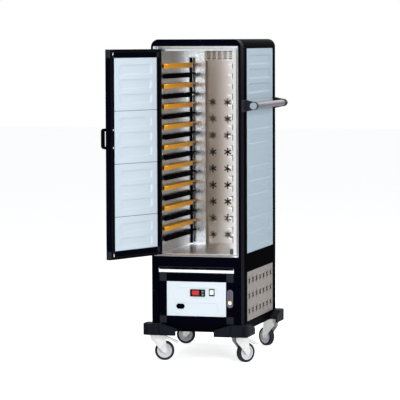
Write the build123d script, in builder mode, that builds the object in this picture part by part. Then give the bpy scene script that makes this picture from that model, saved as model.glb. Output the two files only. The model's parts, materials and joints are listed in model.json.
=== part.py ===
"""Cold banquet trolley: a tall, slim refrigerated cabinet on four castors, door standing open.

Millimetres, +Z up. The origin lies on the floor under the centre of the cabinet.
The front of the cabinet looks along -Y and the door is hinged on its left.
"""
import os
from math import cos, radians, sin

from build123d import *

os.makedirs("parts", exist_ok=True)

# Cabinet
WIDTH = 470.0
DEPTH = 745.0
HEIGHT = 1640.0
CORNER_RADIUS = 40.0
BODY_BOTTOM = 194.0
HALF = WIDTH / 2
FRONT = -DEPTH / 2
BACK = DEPTH / 2
FRAME_DEPTH = 66.0
REAR_FRAME_DEPTH = 57.5
SIDE_FRAME_THICK = 25.0
EDGE_RADIUS = 5.0
SLIT = 0.1

# Door opening with its steel strip
OPENING_HALF = 222.0
OPENING_BOTTOM = 539.5
OPENING_TOP = 1605.0
STRIP_INNER_HALF = 209.0
STRIP_INNER_BOTTOM = 547.0
STRIP_INNER_TOP = 1592.0
STRIP_BEVEL = 12.0
REBATE = 34.0
THROAT_HALF = 192.0
THROAT_TOP = 1587.0

# Storage compartment
INNER_HALF = 187.0
FLOOR_TOP = 549.8
CEILING = 1581.0
CAVITY_BACK = FRONT + 610.0
SHEET = 1.5
PANEL_BOTTOM = 548.0
PANEL_TOP = 1593.0
PANEL_FRONT = FRONT + 129.0
PANEL_BACK = FRONT + 687.0
PANEL_THICK = 8.0

# Main door
DOOR_WIDTH = 413.0
DOOR_BOTTOM = 548.0
DOOR_TOP = 1591.0
DOOR_THICK = 29.0
DOOR_STILE = 39.6
DOOR_RAIL = 42.0
DOOR_OPEN = 112.5
HINGE_INSET = 6.0
HINGE_X = -DOOR_WIDTH / 2 + HINGE_INSET
HINGE_Y = FRONT + HINGE_INSET
PIN_RADIUS = 3.5
FIT = 0.05
PIN_REACH = 24.0

# Ribbed panels
RIB_MODULE = 263.2
RIB_PITCH = 72.7
RIB_HEIGHT = 52.0
RIB_TOP_MARGIN = 32.0
RIB_SIDE_MARGIN = 38.0
RIB_DEPTH = 4.0
RIB_CORNER = 18.0

# Machine compartment
MACHINE_HALF = 196.0
MACHINE_BOTTOM = 199.0
MACHINE_TOP = 453.0
MACHINE_THICK = 29.0
MACHINE_STILE = 40.0
MACHINE_RAIL_LOW = 36.0
MACHINE_RAIL_HIGH = 41.0
MACHINE_OPENING_HALF = 198.5
MACHINE_HINGE_X = -MACHINE_HALF + HINGE_INSET
VENT_BOTTOM = 199.0
VENT_TOP = 453.0

# Drip tray between its two decks
LOWER_DECK = 454.2
UPPER_DECK = 484.2
DECK_THICK = 2.0
TRAY_HALF = 197.0
TRAY_LENGTH = 560.0
TRAY_FLOOR = 460.0
TRAY_RIM = 478.0
TRAY_LIP = 472.0

# Shelf rails
RAIL_LEVELS = 18
RAIL_TOP_CENTRE = 1504.0
RAIL_PITCH = 51.9
RAIL_FACE = 25.0
RAIL_INNER = 158.0
RAIL_OUTER = 178.8
RAIL_WEB = 4.0
RAIL_LEDGE = 7.0
RAIL_FRONT = FRONT + 46.0
RAIL_LENGTH = 528.0

# Duct panel and fan cover on the back wall
DUCT_HALF = 113.0
DUCT_FACE = FRONT + 636.0
HOOD_FACE = FRONT + 588.0
HOOD_BOTTOM = 1527.0
STAR_LENGTH = 42.0
STAR_ARM = 7.5
STAR_PITCH_X = 81.0
STAR_PITCH_Z = 88.2
STAR_CENTRE = 952.8
VENT_STAR = 46.0
VENT_ARM = 8.0

# Base and castors
CHASSIS_BOTTOM = 156.0
CHASSIS_TOP = 193.7
CHANNEL = 3.0
BUMPER_SIDE = 275.0
BUMPER_END = DEPTH / 2 + 40.0
BUMPER_BOTTOM = 137.0
BUMPER_TOP = 196.0
BUMPER_LENGTH = 174.0
BUMPER_FLAT = 86.0
BUMPER_DROP = 27.0
BUMPER_WALL = 9.0
WHEEL_RADIUS = 50.0
WHEEL_WIDTH = 28.0
TYRE_INNER = 38.0
TRAIL = 36.0
AXLE_RADIUS = 5.0
PLATE_THICK = 5.0
PLATE_SIZE = 90.0
BOLT_SPACING = 70.0
KINGPIN_RADIUS = 6.0
CROWN_TOP = CHASSIS_BOTTOM - PLATE_THICK - 0.6
FORK_INNER = WHEEL_WIDTH / 2 + 2.5
FORK_SHEET = 3.0
CASTORS = {
    "fl": (-218.0, FRONT + 42.0, 15.0, True),
    "fr": (218.0, FRONT + 42.0, 52.0, True),
    "rl": (-218.0, FRONT + 710.0, 185.0, False),
    "rr": (218.0, FRONT + 710.0, 146.0, False),
}

# Push bar
BAR_X = 285.0
BAR_Z = 1303.0
BAR_RADIUS = 16.0
BAR_FRONT = FRONT + 68.0
BAR_REAR = FRONT + 742.0


def save(piece, node):
    """Label a finished piece and write its file."""
    piece.part.label = node
    export_step(piece.part, f"parts/{node}.step")


def front_plane(y):
    """Upright plane facing the viewer: X to the right, Z up, normal along -Y."""
    return Plane(origin=(0, y, 0), x_dir=(1, 0, 0), z_dir=(0, -1, 0))


def side_plane(x):
    """Upright plane facing +X: its first axis is Y, its second is Z."""
    return Plane(origin=(x, 0, 0), x_dir=(0, 1, 0), z_dir=(1, 0, 0))


def flat(x0, x1, z0, z1, mode=Mode.ADD):
    """Rectangle given by its edges in the sketch's own axes."""
    with Locations(((x0 + x1) / 2, (z0 + z1) / 2)):
        Rectangle(abs(x1 - x0), abs(z1 - z0), mode=mode)


def block(x0, x1, y0, y1, z0, z1, mode=Mode.ADD):
    """Box given by its faces in the cabinet's axes."""
    with Locations(((x0 + x1) / 2, (y0 + y1) / 2, (z0 + z1) / 2)):
        Box(abs(x1 - x0), abs(y1 - y0), abs(z1 - z0), mode=mode)


def outline(inset=0.0, bottom=BODY_BOTTOM, mode=Mode.ADD):
    """Front outline of the cabinet with its two rounded top corners."""
    half = HALF - inset
    top = HEIGHT - inset
    radius = CORNER_RADIUS - inset
    flat(-half, half, bottom, top - radius, mode)
    flat(-half + radius, half - radius, bottom, top, mode)
    with Locations((-half + radius, top - radius), (half - radius, top - radius)):
        Circle(radius, mode=mode)


def rib_rows(top, bottom):
    """Centre heights of the ribs between two heights, three to a module."""
    rows = []
    module_top = top
    while module_top > bottom:
        for index in range(3):
            rib_top = module_top - RIB_TOP_MARGIN - index * RIB_PITCH
            if rib_top - RIB_HEIGHT > bottom + 12:
                rows.append(rib_top - RIB_HEIGHT / 2)
        module_top -= RIB_MODULE
    return rows


def rib_pockets(width, rows, centre=0.0):
    """Rounded rib outlines, one at each height."""
    for height in rows:
        with Locations((centre, height)):
            RectangleRounded(width, RIB_HEIGHT, RIB_CORNER)


def star_grid(centre, pitch_x, pitch_z, columns, rows, length, arm):
    """Cut a grid of six-armed stars, each made of three crossed slots."""
    with Locations(centre):
        with GridLocations(pitch_x, pitch_z, columns, rows):
            for turn in (30, 90, 150):
                Rectangle(length, arm, rotation=turn, mode=Mode.SUBTRACT)


# Base frame of inward-facing channels, with a floor sheet over it and two cross webs
with BuildPart() as chassis:
    with BuildSketch(Plane.XY.offset(CHASSIS_BOTTOM)):
        RectangleRounded(WIDTH - 0.6, DEPTH - 0.6, 8)
        Rectangle(WIDTH - 80, DEPTH - 140, mode=Mode.SUBTRACT)
        Rectangle(WIDTH - 20, 60)
    extrude(amount=CHASSIS_TOP - CHASSIS_BOTTOM)
    with BuildSketch(Plane.XY.offset(CHASSIS_TOP - 3)):
        Rectangle(WIDTH - 60, DEPTH - 60)
    extrude(amount=3)
    block(
        -HALF + 5, HALF - 5, FRONT + 5, BACK - 5,
        CHASSIS_BOTTOM + CHANNEL, CHASSIS_TOP - CHANNEL, mode=Mode.SUBTRACT,
    )
    for y in (-30, 26):
        block(-HALF + 4, HALF - 4, y, y + 4, CHASSIS_BOTTOM + 1, CHASSIS_TOP - 1)
save(chassis, "chassis")

# Corner bumpers: an L round each corner, with a skirt that hides the castor plate
ARM_X = -BUMPER_SIDE + BUMPER_LENGTH
ARM_Y = -BUMPER_END + BUMPER_LENGTH
with BuildPart() as corner_bumpers:
    with BuildSketch(Plane.XY.offset(BUMPER_BOTTOM)):
        flat(-BUMPER_SIDE, ARM_X, -BUMPER_END, FRONT - 0.3)
        flat(-BUMPER_SIDE, -HALF - 0.3, -BUMPER_END, ARM_Y)
    extrude(amount=BUMPER_TOP - BUMPER_BOTTOM)
    corner = corner_bumpers.edges().filter_by(Axis.Z).group_by(lambda e: e.center().X + e.center().Y)[0]
    fillet(corner, radius=22)
    block(
        -BUMPER_SIDE + BUMPER_WALL, 0, -BUMPER_END + BUMPER_WALL, 0,
        BUMPER_BOTTOM, CHASSIS_BOTTOM + 0.4, mode=Mode.SUBTRACT,
    )
    with BuildSketch(front_plane(-BUMPER_END)):
        with BuildLine():
            Polyline(
                (-BUMPER_SIDE + BUMPER_FLAT, BUMPER_TOP),
                (ARM_X + 1, BUMPER_TOP - BUMPER_DROP),
                (ARM_X + 1, BUMPER_TOP + 5),
                (-BUMPER_SIDE + BUMPER_FLAT, BUMPER_TOP + 5),
                close=True,
            )
        make_face()
    extrude(amount=-60, mode=Mode.SUBTRACT)
    with BuildSketch(side_plane(-BUMPER_SIDE)):
        with BuildLine():
            Polyline(
                (-BUMPER_END + BUMPER_FLAT, BUMPER_TOP),
                (ARM_Y + 1, BUMPER_TOP - BUMPER_DROP),
                (ARM_Y + 1, BUMPER_TOP + 5),
                (-BUMPER_END + BUMPER_FLAT, BUMPER_TOP + 5),
                close=True,
            )
        make_face()
    extrude(amount=60, mode=Mode.SUBTRACT)
    mirror(about=Plane.YZ)
    mirror(about=Plane.XZ)
save(corner_bumpers, "corner_bumpers")

# Front ring. Fine slits part it into posts, rails and cheeks
with BuildPart() as front_frame:
    with BuildSketch(front_plane(FRONT)):
        outline()
    extrude(amount=-REBATE)
    front_rim = front_frame.faces().sort_by(Axis.Y)[0].edges()
    fillet(front_rim.filter_by(lambda e: e.center().Z > BODY_BOTTOM + 1), radius=EDGE_RADIUS)
    with BuildSketch(front_plane(FRONT)):
        flat(-OPENING_HALF, OPENING_HALF, OPENING_BOTTOM, OPENING_TOP + SLIT)
        flat(-HALF, HALF, OPENING_TOP, OPENING_TOP + SLIT)
        for side in (-1, 1):
            flat(side * OPENING_HALF, side * (OPENING_HALF - SLIT), BODY_BOTTOM, OPENING_BOTTOM)
        flat(-MACHINE_OPENING_HALF, MACHINE_OPENING_HALF, MACHINE_BOTTOM - 0.7, UPPER_DECK + DECK_THICK)
        flat(-OPENING_HALF, OPENING_HALF, UPPER_DECK + DECK_THICK, UPPER_DECK + DECK_THICK + SLIT)
        for side in (-1, 1):
            cheek = side * MACHINE_OPENING_HALF
            flat(cheek, cheek - side * SLIT, BODY_BOTTOM, MACHINE_BOTTOM)
    extrude(amount=-REBATE, mode=Mode.SUBTRACT)
    with Locations((MACHINE_HINGE_X, HINGE_Y, BODY_BOTTOM + 2.5)):
        Cylinder(PIN_RADIUS + FIT, 8, mode=Mode.SUBTRACT)
    with BuildSketch(front_plane(FRONT + REBATE + SLIT)):
        outline()
        flat(-THROAT_HALF, THROAT_HALF, PANEL_BOTTOM, THROAT_TOP, mode=Mode.SUBTRACT)
        flat(-HALF, HALF, THROAT_TOP, THROAT_TOP + SLIT, mode=Mode.SUBTRACT)
        flat(-THROAT_HALF, THROAT_HALF, BODY_BOTTOM, LOWER_DECK, mode=Mode.SUBTRACT)
        flat(-199.0, 199.0, LOWER_DECK, UPPER_DECK + 2.4, mode=Mode.SUBTRACT)
        for height in (LOWER_DECK, UPPER_DECK + 2.4):
            flat(-HALF, HALF, height, height + SLIT, mode=Mode.SUBTRACT)
        for side in (-1, 1):
            cheek = side * THROAT_HALF
            flat(cheek, cheek - side * SLIT, UPPER_DECK, PANEL_BOTTOM, mode=Mode.SUBTRACT)
    extrude(amount=-(FRAME_DEPTH - REBATE - SLIT))
save(front_frame, "front_frame")

# Mitred stainless strip, bevelled inwards, in four lengths
MITRE_HALF = OPENING_HALF - 0.5
MITRE_BOTTOM = OPENING_BOTTOM + 0.5
MITRE_TOP = OPENING_TOP - 0.5
STRIP_CORNERS = (
    ((-MITRE_HALF, MITRE_BOTTOM), (-STRIP_INNER_HALF, STRIP_INNER_BOTTOM)),
    ((-MITRE_HALF, MITRE_TOP), (-STRIP_INNER_HALF, STRIP_INNER_TOP)),
    ((MITRE_HALF, MITRE_TOP), (STRIP_INNER_HALF, STRIP_INNER_TOP)),
    ((MITRE_HALF, MITRE_BOTTOM), (STRIP_INNER_HALF, STRIP_INNER_BOTTOM)),
)
with BuildPart() as frame_strip:
    with BuildSketch(front_plane(FRONT + 0.2)):
        for index in range(4):
            outer_a, inner_a = STRIP_CORNERS[index]
            outer_b, inner_b = STRIP_CORNERS[(index + 1) % 4]
            run = Vector(outer_b[0] - outer_a[0], outer_b[1] - outer_a[1]).normalized() * 0.1
            with BuildLine():
                Polyline(
                    (outer_a[0] + run.X, outer_a[1] + run.Y),
                    (outer_b[0] - run.X, outer_b[1] - run.Y),
                    (inner_b[0] - run.X, inner_b[1] - run.Y),
                    (inner_a[0] + run.X, inner_a[1] + run.Y),
                    close=True,
                )
            make_face()
    extrude(amount=-(REBATE - 1.4))
    with BuildSketch(front_plane(FRONT - 0.1)):
        flat(-MITRE_HALF + 0.6, MITRE_HALF - 0.6, MITRE_BOTTOM + 0.6, MITRE_TOP - 0.6)
    with BuildSketch(front_plane(FRONT + STRIP_BEVEL)):
        flat(-STRIP_INNER_HALF, STRIP_INNER_HALF, STRIP_INNER_BOTTOM, STRIP_INNER_TOP)
    loft(mode=Mode.SUBTRACT)
    for height in (STRIP_INNER_BOTTOM - 2, STRIP_INNER_TOP + 2):
        with Locations((HINGE_X, HINGE_Y, height)):
            Cylinder(PIN_RADIUS + FIT, 9, mode=Mode.SUBTRACT)
save(frame_strip, "frame_strip")

# Side frames: front post, mid band, top rail and lower rail of each side
FRAME_START = FRONT + FRAME_DEPTH + 0.3
with BuildPart() as side_frames:
    for y0, y1, z0, z1 in (
        (FRAME_START, PANEL_FRONT, BODY_BOTTOM, HEIGHT - CORNER_RADIUS - 3),
        (PANEL_FRONT + SLIT, PANEL_BACK, VENT_TOP, PANEL_BOTTOM),
        (PANEL_FRONT + SLIT, PANEL_BACK, PANEL_TOP, HEIGHT - CORNER_RADIUS - 3),
        (PANEL_FRONT + SLIT, PANEL_BACK, BODY_BOTTOM, VENT_BOTTOM),
    ):
        block(HALF - SIDE_FRAME_THICK, HALF, y0, y1, z0, z1)
    mirror(about=Plane.YZ)
save(side_frames, "side_frames")

# Rear ring, parted like the front one
with BuildPart() as rear_frame:
    with BuildSketch(front_plane(BACK)):
        outline()
    extrude(amount=REAR_FRAME_DEPTH)
    rear_rim = rear_frame.faces().sort_by(Axis.Y)[-1].edges()
    fillet(rear_rim.filter_by(lambda e: e.center().Z > BODY_BOTTOM + 1), radius=EDGE_RADIUS)
    with BuildSketch(front_plane(BACK)):
        flat(-THROAT_HALF, THROAT_HALF, PANEL_BOTTOM, PANEL_TOP)
        flat(-THROAT_HALF, THROAT_HALF, VENT_BOTTOM, VENT_TOP)
        flat(-HALF, HALF, PANEL_TOP, PANEL_TOP + SLIT)
        for side in (-1, 1):
            flat(side * THROAT_HALF, side * (THROAT_HALF - SLIT), BODY_BOTTOM, PANEL_BOTTOM)
    extrude(amount=REAR_FRAME_DEPTH, mode=Mode.SUBTRACT)
save(rear_frame, "rear_frame")

# Roof shell between the two rings
SHELL_THICK = 4.0
SHELL_LENGTH = DEPTH - FRAME_DEPTH - REAR_FRAME_DEPTH - 0.6
with BuildPart() as roof_cover:
    with BuildSketch(front_plane(FRAME_START)):
        outline()
        outline(inset=SHELL_THICK, mode=Mode.SUBTRACT)
        flat(-HALF, HALF, BODY_BOTTOM, HEIGHT - CORNER_RADIUS - 2.5, mode=Mode.SUBTRACT)
    extrude(amount=-SHELL_LENGTH)
save(roof_cover, "roof_cover")

# Decks over and under the drip tray; their front lips show as thin lines
with BuildPart() as decks:
    for height in (LOWER_DECK, UPPER_DECK):
        top = height + DECK_THICK
        block(-THROAT_HALF + 0.4, THROAT_HALF - 0.4, FRONT + 1, FRAME_START + 1, height, top)
        tongue = MACHINE_OPENING_HALF - 0.4
        block(-tongue, tongue, FRONT + 1, FRONT + REBATE - 0.2, height, top)
        block(-HALF + 25.5, HALF - 25.5, FRAME_START, FRONT + 640, height, top)
    with Locations((MACHINE_HINGE_X, HINGE_Y, LOWER_DECK + 1)):
        Cylinder(PIN_RADIUS + FIT, 4, mode=Mode.SUBTRACT)
save(decks, "decks")

# Ribbed side panels
SIDE_RIBS = rib_rows(PANEL_TOP, PANEL_BOTTOM)
with BuildPart() as side_panels:
    with BuildSketch(side_plane(HALF - 1)):
        flat(PANEL_FRONT + 0.5, PANEL_BACK - 0.5, PANEL_BOTTOM + 0.5, PANEL_TOP - 0.5)
    extrude(amount=-PANEL_THICK)
    with BuildSketch(side_plane(HALF - 1)):
        rib_pockets(PANEL_BACK - PANEL_FRONT - 2 * RIB_SIDE_MARGIN, SIDE_RIBS, (PANEL_FRONT + PANEL_BACK) / 2)
    extrude(amount=-RIB_DEPTH, mode=Mode.SUBTRACT)
    mirror(about=Plane.YZ)
save(side_panels, "side_panels")

# Ribbed back panel
with BuildPart() as back_panel:
    with BuildSketch(front_plane(BACK - 2)):
        flat(-THROAT_HALF + 0.5, THROAT_HALF - 0.5, PANEL_BOTTOM + 0.5, PANEL_TOP - 0.5)
    extrude(amount=PANEL_THICK)
    with BuildSketch(front_plane(BACK - 2)):
        rib_pockets(2 * (THROAT_HALF - RIB_SIDE_MARGIN), SIDE_RIBS)
    extrude(amount=RIB_DEPTH, mode=Mode.SUBTRACT)
save(back_panel, "back_panel")

# Star-perforated panels round the machine compartment
VENT_CENTRE = (VENT_BOTTOM + VENT_TOP) / 2
with BuildPart() as vent_panels:
    with BuildSketch(side_plane(HALF - 2)):
        flat(PANEL_FRONT + 0.5, PANEL_BACK - 0.5, VENT_BOTTOM + 0.5, VENT_TOP - 0.5)
        star_grid(((PANEL_FRONT + PANEL_BACK) / 2, VENT_CENTRE), 76, 78, 7, 3, VENT_STAR, VENT_ARM)
    extrude(amount=-SHEET)
    mirror(about=Plane.YZ)
    with BuildSketch(front_plane(BACK - 3)):
        flat(-THROAT_HALF + 0.5, THROAT_HALF - 0.5, VENT_BOTTOM + 0.5, VENT_TOP - 0.5)
        star_grid((0, VENT_CENTRE), 76, 78, 5, 3, VENT_STAR, VENT_ARM)
    extrude(amount=SHEET)
save(vent_panels, "vent_panels")

# Polished liner: side walls and ceiling with their front flanges, floor, margins of the back wall
FLANGE_BACK = FRONT + REBATE - 0.1
FLANGE_FRONT = FLANGE_BACK - 1.0
FLANGE_HALF = STRIP_INNER_HALF - 0.5
with BuildPart() as inner_liner:
    block(INNER_HALF, INNER_HALF + SHEET, FLANGE_FRONT, CAVITY_BACK - 0.3, FLOOR_TOP + 0.3, CEILING - 0.3)
    block(INNER_HALF, FLANGE_HALF, FLANGE_FRONT, FLANGE_BACK, FLOOR_TOP + 0.3, CEILING - 0.3)
    wall_back = CAVITY_BACK + SHEET
    block(DUCT_HALF + 2.2, INNER_HALF + SHEET, CAVITY_BACK, wall_back, FLOOR_TOP + 0.3, CEILING - 0.3)
    mirror(about=Plane.YZ)
    block(-INNER_HALF, INNER_HALF, FLANGE_FRONT, CAVITY_BACK + SHEET, CEILING, CEILING + SHEET)
    block(-FLANGE_HALF, FLANGE_HALF, FLANGE_FRONT, FLANGE_BACK, CEILING, STRIP_INNER_TOP - 0.5)
    block(-INNER_HALF, INNER_HALF, FLANGE_FRONT, DUCT_FACE + 10, FLOOR_TOP - SHEET, FLOOR_TOP)
save(inner_liner, "inner_liner")

# Foam in the sides, roof, floor and back
with BuildPart() as insulation:
    block(INNER_HALF + 2, HALF - 9.5, PANEL_FRONT + 1, PANEL_BACK - 1, PANEL_BOTTOM + 2, PANEL_TOP - 2)
    block(DUCT_HALF + 3, INNER_HALF, CAVITY_BACK + 2, FRONT + 688, FLOOR_TOP + 2, CEILING - 2)
    mirror(about=Plane.YZ)
    block(-INNER_HALF, INNER_HALF, FRAME_START + 1, PANEL_BACK - 1, CEILING + 2, HEIGHT - SHELL_THICK - 1)
    block(-INNER_HALF, INNER_HALF, FRAME_START + 1, FRONT + 612, UPPER_DECK + 3, FLOOR_TOP - 2)
    block(-THROAT_HALF + 2, THROAT_HALF - 2, FRONT + 690, FRONT + 734, PANEL_BOTTOM + 2, PANEL_TOP - 2)
save(insulation, "insulation")

# Recessed duct panel with its grid of stars, and the slotted fan cover above it
with BuildPart() as duct_panels:
    with BuildSketch(front_plane(DUCT_FACE)):
        flat(-DUCT_HALF, DUCT_HALF, FLOOR_TOP + 1, HOOD_BOTTOM)
        star_grid((0, STAR_CENTRE), STAR_PITCH_X, STAR_PITCH_Z, 3, 9, STAR_LENGTH, STAR_ARM)
    extrude(amount=-SHEET)
    for side in (-1, 1):
        block(
            side * DUCT_HALF, side * (DUCT_HALF + SHEET),
            CAVITY_BACK + 0.5, DUCT_FACE + SHEET, FLOOR_TOP + 1, HOOD_BOTTOM,
        )
    with BuildSketch(front_plane(HOOD_FACE)):
        flat(-DUCT_HALF, DUCT_HALF, HOOD_BOTTOM + 0.3, CEILING - 0.5)
        with Locations((0, 1556)):
            with GridLocations(30, 12.4, 7, 4):
                Rectangle(18, 6, mode=Mode.SUBTRACT)
    extrude(amount=-SHEET)
    block(-DUCT_HALF, DUCT_HALF, HOOD_FACE, DUCT_FACE + SHEET, HOOD_BOTTOM + 0.3, HOOD_BOTTOM + 0.3 + SHEET)
    for side in (-1, 1):
        block(
            side * DUCT_HALF, side * (DUCT_HALF - SHEET),
            HOOD_FACE, DUCT_FACE + SHEET, HOOD_BOTTOM + 0.3, CEILING - 0.5,
        )
save(duct_panels, "duct_panels")

# Corner strips that carry the rails at the rear, and a clip behind the front end of each rail
RACK_BOTTOM = FLOOR_TOP + 8
RACK_TOP = RAIL_TOP_CENTRE + 40
with BuildPart() as rack_uprights:
    block(RAIL_OUTER + 0.2, INNER_HALF - 0.2, FRONT + 576, FRONT + 586, RACK_BOTTOM, RACK_TOP)
    for level in range(RAIL_LEVELS):
        middle = RAIL_TOP_CENTRE - level * RAIL_PITCH
        block(RAIL_OUTER + 0.2, INNER_HALF - 0.2, FRONT + 64, FRONT + 78, middle - 7, middle + 7)
    mirror(about=Plane.YZ)
save(rack_uprights, "rack_uprights")


def rail_set(first_level):
    """Every second rail on both sides from a given level down: a flat ledge on an upright web."""
    with BuildPart() as rails:
        with BuildSketch(front_plane(RAIL_FRONT)):
            for level in range(first_level, RAIL_LEVELS, 2):
                middle = RAIL_TOP_CENTRE - level * RAIL_PITCH
                top = middle + RAIL_FACE / 2
                flat(RAIL_OUTER - RAIL_WEB, RAIL_OUTER, middle - RAIL_FACE / 2, top)
                flat(RAIL_INNER, RAIL_OUTER, top - RAIL_LEDGE, top)
        extrude(amount=-RAIL_LENGTH)
        mirror(about=Plane.YZ)
    return rails


save(rail_set(0), "orange_rails")
save(rail_set(1), "black_rails")

# Evaporator behind the duct panel
COIL_FRONT = FRONT + 646.0
COIL_BACK = FRONT + 682.0
with BuildPart() as evaporator_coil:
    for row in range(12):
        fin = 708 + row * 32
        block(-84, 84, COIL_FRONT, COIL_BACK, fin, fin + 26)
    for side in (-1, 1):
        block(side * 92, side * 86, COIL_FRONT, COIL_BACK, 700, 1100)
    for tube in (COIL_FRONT + 10, COIL_BACK - 10):
        block(-88, 88, tube - 3, tube + 3, 702, 1098)
save(evaporator_coil, "evaporator_coil")

# Fan shrouds: one behind the duct panel's head, one against the condenser
FAN_Z = 1440.0
FAN_FRONT = FRONT + 644.0
FAN_DEPTH = 25.0
COOLER_X = 136.0
COOLER_Y = FRONT + 400.0
COOLER_Z = 318.0
with BuildPart() as fan_shrouds:
    with BuildSketch(front_plane(FAN_FRONT)):
        with Locations((0, FAN_Z)):
            RectangleRounded(120, 120, 6)
            Circle(54, mode=Mode.SUBTRACT)
    extrude(amount=-FAN_DEPTH)
    with BuildSketch(front_plane(FAN_FRONT + FAN_DEPTH - 3)):
        with Locations((0, FAN_Z)):
            Rectangle(112, 8)
            Circle(20)
    extrude(amount=-3)
    with BuildSketch(side_plane(COOLER_X)):
        with Locations((COOLER_Y, COOLER_Z)):
            RectangleRounded(210, 210, 8)
            Circle(95, mode=Mode.SUBTRACT)
    extrude(amount=30)
    with BuildSketch(side_plane(COOLER_X)):
        with Locations((COOLER_Y, COOLER_Z)):
            Rectangle(8, 196)
            Circle(26)
    extrude(amount=3)
save(fan_shrouds, "fan_shrouds")


def fan_wheel(plane, tip, hub, depth, blades):
    """Axial fan wheel with flat blades round a hub."""
    with BuildPart() as wheel:
        with BuildSketch(plane):
            Circle(hub)
        extrude(amount=depth)
        with BuildSketch(plane.offset(depth * 0.3)):
            with PolarLocations(0, blades):
                with Locations(((hub + tip) / 2 - 2, 0)):
                    Rectangle(tip - hub + 1, tip * 0.42, rotation=8)
            Circle(tip, mode=Mode.INTERSECT)
        extrude(amount=depth * 0.4)
    return wheel


EVAPORATOR_FAN = Plane(origin=(0, FAN_FRONT + FAN_DEPTH - 4, FAN_Z), x_dir=(1, 0, 0), z_dir=(0, -1, 0))
CONDENSER_FAN = Plane(origin=(COOLER_X + 4, COOLER_Y, COOLER_Z), x_dir=(0, 1, 0), z_dir=(1, 0, 0))
save(fan_wheel(EVAPORATOR_FAN, 51, 20, 18, 7), "evaporator_fan")
save(fan_wheel(CONDENSER_FAN, 91, 28, 22, 5), "condenser_fan")

# Hermetic compressor on four rubber feet
COMPRESSOR = (-70.0, FRONT + 360.0)
COMPRESSOR_BASE = BODY_BOTTOM + 14.0
COMPRESSOR_HEIGHT = 166.0
PORT_TOP = 414.0
with BuildPart() as compressor:
    with BuildSketch(Plane.XY.offset(COMPRESSOR_BASE)):
        with Locations(COMPRESSOR):
            Circle(68)
    extrude(amount=COMPRESSOR_HEIGHT)
    fillet(compressor.edges().filter_by(GeomType.CIRCLE), radius=30)
    with BuildSketch(Plane.XY.offset(COMPRESSOR_BASE)):
        with Locations(COMPRESSOR):
            RectangleRounded(184, 116, 12)
    extrude(amount=4)
    with BuildSketch(Plane.XY.offset(BODY_BOTTOM)):
        with Locations(COMPRESSOR):
            with GridLocations(160, 90, 2, 2):
                Circle(11)
    extrude(amount=14)
    with BuildSketch(Plane.XY.offset(COMPRESSOR_BASE + 120)):
        with Locations(COMPRESSOR):
            with Locations((-50, 0), (50, 0)):
                Circle(5)
    extrude(amount=PORT_TOP - COMPRESSOR_BASE - 120)
save(compressor, "compressor")

# Condenser against the right-hand vent panel
with BuildPart() as condenser_coil:
    for row in range(15):
        fin = COOLER_Y - 117 + row * 16
        block(COOLER_X + 34, COOLER_X + 66, fin, fin + 10, COOLER_Z - 108, COOLER_Z + 105)
    for height in (COOLER_Z - 110, COOLER_Z + 102):
        block(COOLER_X + 32, COOLER_X + 68, COOLER_Y - 122, COOLER_Y + 122, height, height + 6)
save(condenser_coil, "condenser_coil")

# Copper pipes: discharge, liquid and suction lines
PIPE_RADIUS = 4.0
DUCT_Y = FRONT + 664.0
PIPES = (
    (
        (-20, COMPRESSOR[1], PORT_TOP + 1), (-20, COMPRESSOR[1], 440),
        (170, COMPRESSOR[1], 440), (170, COMPRESSOR[1], 428),
    ),
    ((170, FRONT + 524, 330), (170, DUCT_Y, 330), (60, DUCT_Y, 330), (60, DUCT_Y, 699)),
    (
        (-120, COMPRESSOR[1], PORT_TOP + 1), (-120, COMPRESSOR[1], 440),
        (-120, DUCT_Y, 440), (-60, DUCT_Y, 440), (-60, DUCT_Y, 699),
    ),
)
with BuildPart() as refrigerant_pipes:
    for points in PIPES:
        with BuildLine() as route:
            FilletPolyline(*points, radius=10)
        start = Vector(*points[0])
        heading = (Vector(*points[1]) - start).normalized()
        with BuildSketch(Plane(origin=start, z_dir=heading)):
            Circle(PIPE_RADIUS)
        sweep(path=route.wires()[0])
save(refrigerant_pipes, "refrigerant_pipes")

# Hinge pins of both doors
with BuildPart() as hinge_pins:
    for x, low, high in (
        (HINGE_X, STRIP_INNER_BOTTOM - 6, DOOR_BOTTOM + PIN_REACH),
        (HINGE_X, DOOR_TOP - PIN_REACH, STRIP_INNER_TOP + 6),
        (MACHINE_HINGE_X, BODY_BOTTOM + 0.5, MACHINE_BOTTOM + PIN_REACH),
        (MACHINE_HINGE_X, MACHINE_TOP - PIN_REACH, LOWER_DECK + DECK_THICK),
    ):
        with BuildSketch(Plane.XY.offset(low)):
            with Locations((x, HINGE_Y)):
                Circle(PIN_RADIUS)
        extrude(amount=high - low)
save(hinge_pins, "hinge_pins")

# Grey catch block at the foot of the door opening
with BuildPart() as door_keeper:
    block(INNER_HALF - 20, INNER_HALF - 0.5, FRONT + 35, FRONT + 54, FLOOR_TOP + 0.2, FLOOR_TOP + 28)
    fillet(door_keeper.edges().filter_by(Axis.Z), radius=3)
save(door_keeper, "door_keeper")

# Push bar along the right side
with BuildPart() as push_bar:
    with BuildSketch(front_plane(BAR_FRONT)):
        with Locations((BAR_X, BAR_Z)):
            Circle(BAR_RADIUS)
            Circle(BAR_RADIUS - 2, mode=Mode.SUBTRACT)
    extrude(amount=-(BAR_REAR - BAR_FRONT))
save(push_bar, "push_bar")

BRACKET_HALF = 30.0


def arm_outline():
    """Tapered arm from the cabinet's side to a sleeve round the bar."""
    Polygon(
        (HALF + 0.3, BAR_Z - BRACKET_HALF), (BAR_X, BAR_Z - 19),
        (BAR_X, BAR_Z + 19), (HALF + 0.3, BAR_Z + BRACKET_HALF), align=None,
    )
    with Locations((BAR_X, BAR_Z)):
        Circle(20)
        Circle(BAR_RADIUS + 0.1, mode=Mode.SUBTRACT)


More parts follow.
